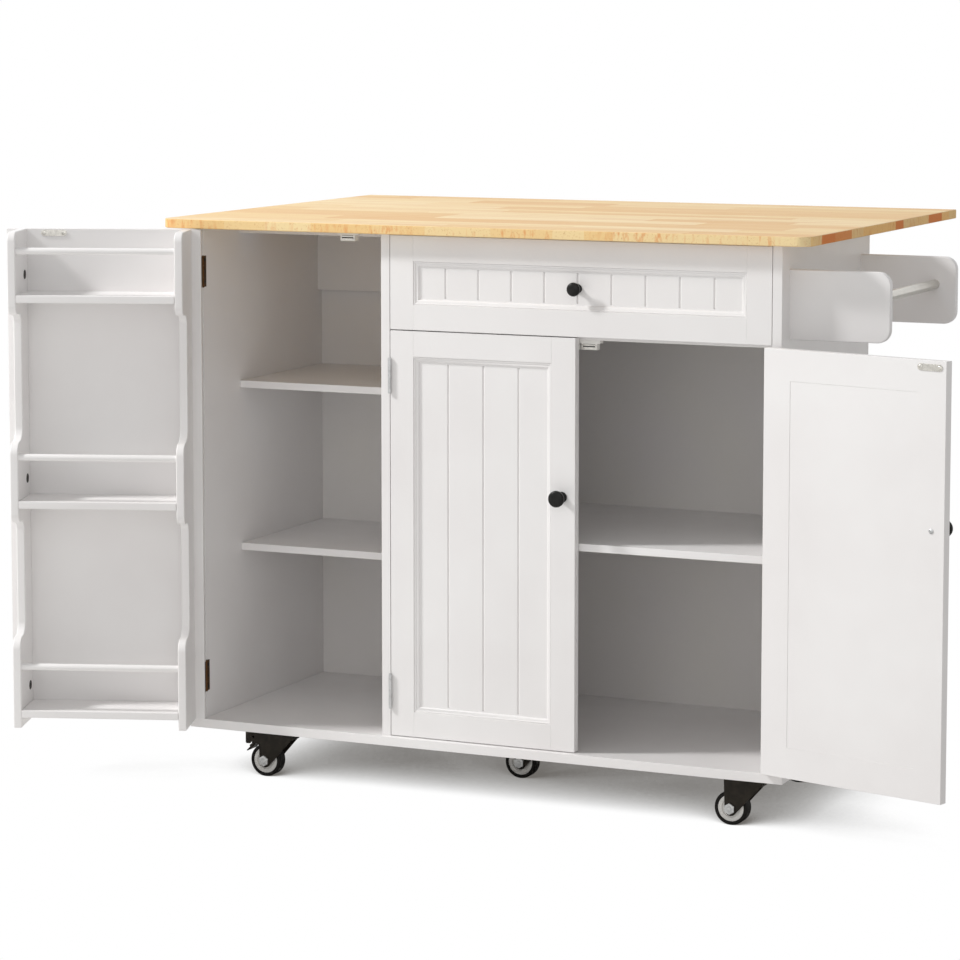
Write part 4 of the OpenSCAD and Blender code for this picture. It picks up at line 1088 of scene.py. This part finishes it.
class CART_OT_catches(Operator):
    """The magnetic catches and the strike plates they hold"""
    bl_idname = "cart.catches"
    bl_label = "Catches"

    def execute(self, context):
        parts = solids_of("catches")
        bodies = [ease(p, 0.6 * MM, 3, lambda e: sharp(e) and e.calc_length() > 5 * MM) for p in parts[:2]]
        lips = []
        for magnet in parts[2:]:
            low, high = extent(magnet)
            for z, tall in ((low.z - 0.2 * MM, 3.0), (high.z - 2.7 * MM, 2.3)):
                lip = block("lip", (low.x - 2.6 * MM, low.y - 0.3 * MM, z),
                            (high.x + 2.6 * MM, low.y + 4 * MM, z + tall * MM))
                lips.append(ease(lip, 0.25 * MM, 2))
        for name, pieces, look in (("catch_housings", bodies, "catch"), ("catch_magnets", parts[2:], "ferrite"),
                                   ("catch_lips", lips, "nickel")):
            stand_in(joined(name, pieces), look, "catches")
        _, _, back, _, _ = door_sizes()
        # The strike plates: half their length, half their height and their thickness
        long, tall, thick = 21, 5, 1.2
        for word, leaf, u, z in (("spice", SPICE, 238.0, 891.0), ("middle", MIDDLE, 288.0, 737.0),
                                 ("right", RIGHT, 288.0, 737.0)):
            plate = block(word + "_strike", mm(-long, 0, -tall), mm(long, thick, tall))
            ease(plate, 4.99 * MM, 8, lambda e: runs(e, 1))
            ease(plate, 0.35 * MM, 2, lambda e: sharp(e, 60.0))
            set_down(plate, leaf.hang @ Matrix.Translation(Vector((leaf.side * u * MM, back, z * MM))))
            spots = [leaf.spot(u + s * 16, back / MM + thick, z, 1, 0.4 * s) for s in (-1, 1)]
            for piece in (plate, screws(word + "_strike_screws", spots, 3.2, 0.7)):
                stand_in(piece, "nickel", word + "_fittings")
        return {"FINISHED"}


class CART_OT_towel_rail(Operator):
    """The two towel brackets and the rod between them"""
    bl_idname = "cart.towel_rail"
    bl_label = "Towel rail"

    def execute(self, context):
        low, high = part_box("towel_brackets")
        thick = 12 * MM
        boards = []
        for y in (low.y, high.y - thick):
            board = block("bracket", (low.x, y, low.z), (high.x, y + thick, high.z))
            ease(board, 20 * MM, 10, lambda e: middle(e).x > high.x - NEAR and runs(e, 1))
            boards.append(ease(board, 1.5 * MM, 3, lambda e: sharp(e, 60.0) and middle(e).x > low.x + 1e-4))
        stand_in(joined("towel_boards", boards), "paint", "towel_brackets")
        low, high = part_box("towel_rod")
        half = (high.y - low.y) / 2 / MM
        bar = rod("towel_bar", 8, half, 0.6, 0.6, 40)
        stand_in(set_down(bar, facing((low + high) / 2, (0, 1, 0))), "rod", "towel_rod")
        return {"FINISHED"}


class CART_OT_casters(Operator):
    """The five casters: plate, fork, wheel, axle and brake"""
    bl_idname = "cart.casters"
    bl_label = "Casters"

    def execute(self, context):
        caster = context.scene.cart_casters
        softened("coat", "black_metal", ("caster_mounts", "caster_plates", 0.4, 2, 3.0))
        self.screws()
        for word in ("front_left", "front_right", "rear_left", "rear_right", "middle"):
            axle = Vector(JOINTS["axle_" + word]["pos_m"])
            parts = solids_of("fork_" + word)
            fork = self.fold(parts[0], axle, caster)
            ease(fork, 0.35 * MM, 2, lambda e: sharp(e) and e.calc_length() > 1.5 * MM)
            fork.name = fork.data.name = "fork_arms_" + word
            stand_in(fork, "coat", "fork_" + word)
            for part in parts[1:]:
                bpy.data.objects.remove(part)
            stand_in(self.bolt("axle_bolt_" + word, axle), "zinc", "fork_" + word)
            self.wheel(word, axle, caster)
        softened("coat", "black_metal", ("pedal_front", "brake_front", 0.5, 3, 2.0),
                 ("pedal_rear", "brake_rear", 0.5, 3, 2.0))
        return {"FINISHED"}

    def fold(self, fork, axle, caster):
        """Bends the free end of each leg a little inwards along an upright line."""
        crease, end = axle.x + 21.5 * MM, axle.x + 52 * MM
        inside = caster.width / 2 + 1.5 * MM
        with editing(fork):
            pick(fork, "faces", lambda f: abs(f.calc_center_median().y - axle.y) > inside - NEAR)
            cut_at(0, crease)
            for side in (-1, 1):
                pick(fork, "verts", lambda v: v.co.x > end - 1e-4 and side * (v.co.y - axle.y) > inside - NEAR)
                bpy.ops.transform.translate(value=(0, -side * 1.8 * MM, 0))
        return fork

    def screws(self):
        """Four screws from below through each mounting plate."""
        spots = []
        for joint in [j for n, j in JOINTS.items() if n.startswith("swivel_")]:
            x, y, _ = joint["pos_m"]
            spots += [facing(Vector((x, y, 0.0)) + mm(a * 23, b * 23, 81), (0, 0, -1), 0.2 * a + b)
                      for a in (-1, 1) for b in (-1, 1)]
        stand_in(screws("mount_screws", spots, 4.0, 2.2), "zinc", "caster_screws")

    def bolt(self, name, axle):
        """The axle with its round head at the back and a chamfered hexagon nut in front."""
        shaft = turned("shaft", [(0, -14), (3.6, -14), (4, -13.6), (4, 18.3), (3.4, 18.9), (0, 18.9)], 24)
        head = turned("head", [(0, -16.4), (4.6, -16.4), (6.2, -15.6), (6.5, -14.4), (6.5, -14), (0, -14)], 32)
        let_go()
        bpy.ops.mesh.primitive_cylinder_add(vertices=6, radius=9 * MM, depth=4.6 * MM,
                                            location=(0, 0, 15.8 * MM))
        nut = bpy.context.object
        bpy.ops.object.transform_apply(location=True)
        corner = turned("corner", [(8.1, 18.2), (10.8, 16.9), (10.8, 19.0), (8.1, 19.0), (8.1, 18.2)], 48)
        cut_away(nut, corner)
        ease(nut, 0.25 * MM, 2, lambda e: sharp(e, 50.0) and e.calc_length() > 1 * MM)
        return set_down(joined(name, [shaft, head, nut]), facing(axle, (0, -1, 0)))

    def wheel(self, word, axle, caster):
        """The tyre with its running groove, and the dished hub in it."""
        r, half, hub = caster.radius / MM, caster.width / 2 / MM, caster.hub / MM
        shoulder = [(r - 3 + 3 * math.sin(math.radians(a)), half - 3 + 3 * math.cos(math.radians(a)))
                    for a in range(15, 91, 15)]
        tread = shoulder + [(r, 5.2), (r - 0.35, 4.9), (r - 0.35, 4.3), (r, 4.0)]
        side = [(hub + 0.05, half - 1.4), (hub + 0.5, half - 0.7), (hub + 1.6, half - 0.35),
                (r - 3.6, half - 0.05)]
        dish = [(x, half - deep) for x, deep in (
            (4.05, 0.2), (7.6, 0.2), (8.6, 0.6), (8.9, 2.6), (11.0, 2.8), (11.3, 1.6), (12.4, 1.6), (12.7, 2.8),
            (14.3, 2.8), (14.6, 1.3), (15.2, 1.0), (hub - 0.9, 1.0), (hub - 0.1, 1.5))]
        for name, front, look in (("tyre_", side + tread, "tyre"), ("hub_", dish, "hub")):
            loop = front + [(x, -z) for x, z in reversed(front)] + [front[0]]
            piece = set_down(turned(name + word, loop, 64), facing(axle, (0, -1, 0)))
            stand_in(piece, look, "wheel_" + word)


class CART_OT_leaf_support(Operator):
    """The hinges under the leaf, and the braces that hold it up"""
    bl_idname = "cart.leaf_support"
    bl_label = "Leaf hinges and braces"

    def execute(self, context):
        for name, node, width in (("leaf_hinges_top", "leaf_hinge_fixed", 0.15),
                                  ("leaf_hinges_leaf", "leaf_hinge_moving", 0.15),
                                  ("roller_tracks", "leaf_tracks", 0.4), ("folding_braces", "leaf_braces", 0.5),
                                  ("brace_brackets_steel", "brace_brackets", 0.3)):
            softened("zinc", "zinc_steel", (name, node, width, 2, 1.2))
        # The screws' places on the drawing: hinges along X, the seam at Y 444 and the plates' faces below
        hinges, seam, plates = (120, 499, 878), 444.0, 897.7
        for node, name, ys in (("leaf_hinge_fixed", "hinge_screws_top", (-14.0,)),
                               ("leaf_hinge_moving", "hinge_screws_leaf", (12.0, 26.0))):
            spots = [facing(place(x + s * 20, seam + y, plates), (0, 0, -1), x + s)
                     for x in hinges for y in ys for s in (-1, 1)]
            stand_in(screws(name, spots, 3.0, 0.9), "zinc", node)
        return {"FINISHED"}


class CART_OT_stage(Operator):
    """The pale floor, the soft lights and the camera"""
    bl_idname = "cart.stage"
    bl_label = "Stage"

    def execute(self, context):
        stage = context.scene.cart_stage
        let_go()
        bpy.ops.mesh.primitive_plane_add(size=14.0)
        floor = bpy.context.object
        floor.name = "studio_floor"
        floor.data.materials.append(self.floor_paint())
        self.world(context.scene, stage)
        # The key stands where the knobs' and the towel brackets' shadows point
        aim = Vector((0.0, 0.0, 0.5))
        way = Vector((-1.88, -1.0, 1.73)).normalized()
        self.lamp("key_light", stage.key, stage.key_size, aim + way * stage.key_far, aim)
        self.lamp("fill_light", stage.fill, 3.0, (1.2, -4.6, 2.2), aim)
        eye = bpy.data.cameras.new("camera")
        eye.lens, eye.sensor_width, eye.shift_y = stage.lens, 36.0, -0.12
        eye.clip_start, eye.clip_end = 0.1, 60.0
        camera = bpy.data.objects.new("camera", eye)
        camera.location = CORNER + Vector(stage.eye)
        camera.rotation_euler = (math.pi / 2 - stage.tilt, 0.0, stage.turn)
        context.scene.collection.objects.link(camera)
        context.scene.camera = camera
        context.scene.view_settings.view_transform = "Standard"
        return {"FINISHED"}

    def lamp(self, name, power, size, spot, target):
        """A square area lamp that looks from its spot at the target."""
        light = bpy.data.lights.new(name, "AREA")
        light.energy, light.size = power, size
        lamp = bpy.data.objects.new(name, light)
        lamp.location = spot
        lamp.rotation_euler = (target - Vector(spot)).to_track_quat("-Z", "Y").to_euler()
        bpy.context.scene.collection.objects.link(lamp)

    def floor_paint(self):
        """A white studio floor. The camera sees it white, shaded where the cart stands close over it."""
        material = bpy.data.materials.new("white_studio_floor")
        material.use_nodes = True
        tree = material.node_tree
        tree.nodes.clear()
        ray = add(tree, "LightPath").outputs["Is Camera Ray"]
        # The shade looks up and forwards, so that it deepens from the cart's front to its back
        lean = add(tree, "CombineXYZ", {"X": -0.28, "Y": -0.92, "Z": 0.3})
        near = add(tree, "AmbientOcclusion", {"Distance": 0.3, "Normal": lean}, samples=32)
        shown = blend(tree, spread(tree, near.outputs["AO"], 0.5, 0.78), linear("#706D69"), WHITE)
        matt = add(tree, "BsdfDiffuse", {"Color": linear("#E9E8E6")})
        shader = add(tree, "MixShader", {"Fac": ray, 1: matt, 2: add(tree, "Emission", {"Color": shown})})
        add(tree, "OutputMaterial", {"Surface": shader})
        return material

    def world(self, scene, stage):
        """Even light from all round; the camera and the reflections see white."""
        world = bpy.data.worlds.new("studio")
        world.use_nodes = True
        scene.world = world
        tree = world.node_tree
        tree.nodes.clear()
        path = add(tree, "LightPath")
        seen = combine(tree, "MAXIMUM", path.outputs["Is Camera Ray"], path.outputs["Is Glossy Ray"])
        seen = combine(tree, "MAXIMUM", seen, path.outputs["Is Transmission Ray"])
        dim = add(tree, "Background", {"Color": WHITE, "Strength": stage.sky})
        white = add(tree, "Background", {"Color": WHITE, "Strength": 1.0})
        add(tree, "OutputWorld", {"Surface": add(tree, "MixShader", {"Fac": seen, 1: dim, 2: white})})


class CART_PT_pieces(Panel):
    """The cart's groups of pieces"""
    bl_idname = "CART_PT_pieces"
    bl_label = "Kitchen cart"
    bl_space_type = "VIEW_3D"
    bl_region_type = "UI"
    bl_category = "Cart"

    def draw(self, context):
        for operator in OPERATORS:
            self.layout.operator(operator.bl_idname)
        for name in SETTINGS:
            group = getattr(context.scene, name)
            box = self.layout.box()
            for key in group.__annotations__:
                box.prop(group, key)


SETTINGS = {"cart_worktop": WorktopSettings, "cart_paint": PaintSettings, "cart_doors": DoorSettings,
            "cart_hardware": HardwareSettings, "cart_casters": CasterSettings, "cart_stage": StageSettings}
OPERATORS = (CART_OT_stage, CART_OT_worktop, CART_OT_carcass, CART_OT_panelled_doors, CART_OT_spice_door,
             CART_OT_rack, CART_OT_drawer, CART_OT_knobs, CART_OT_hinges, CART_OT_catches, CART_OT_towel_rail,
             CART_OT_casters, CART_OT_leaf_support)


def register():
    for group in SETTINGS.values():
        bpy.utils.register_class(group)
    for kind in (*OPERATORS, CART_PT_pieces):
        bpy.utils.register_class(kind)
    for name, group in SETTINGS.items():
        setattr(bpy.types.Scene, name, PointerProperty(type=group))


def unregister():
    for name in SETTINGS:
        delattr(bpy.types.Scene, name)
    for kind in (CART_PT_pieces, *reversed(OPERATORS), *reversed(SETTINGS.values())):
        bpy.utils.unregister_class(kind)


def main():
    register()
    for operator in OPERATORS:
        group, name = operator.bl_idname.split(".")
        if getattr(getattr(bpy.ops, group), name)() != {"FINISHED"}:
            raise RuntimeError(operator.bl_label + " could not be finished")


if __name__ == "__main__":
    main()
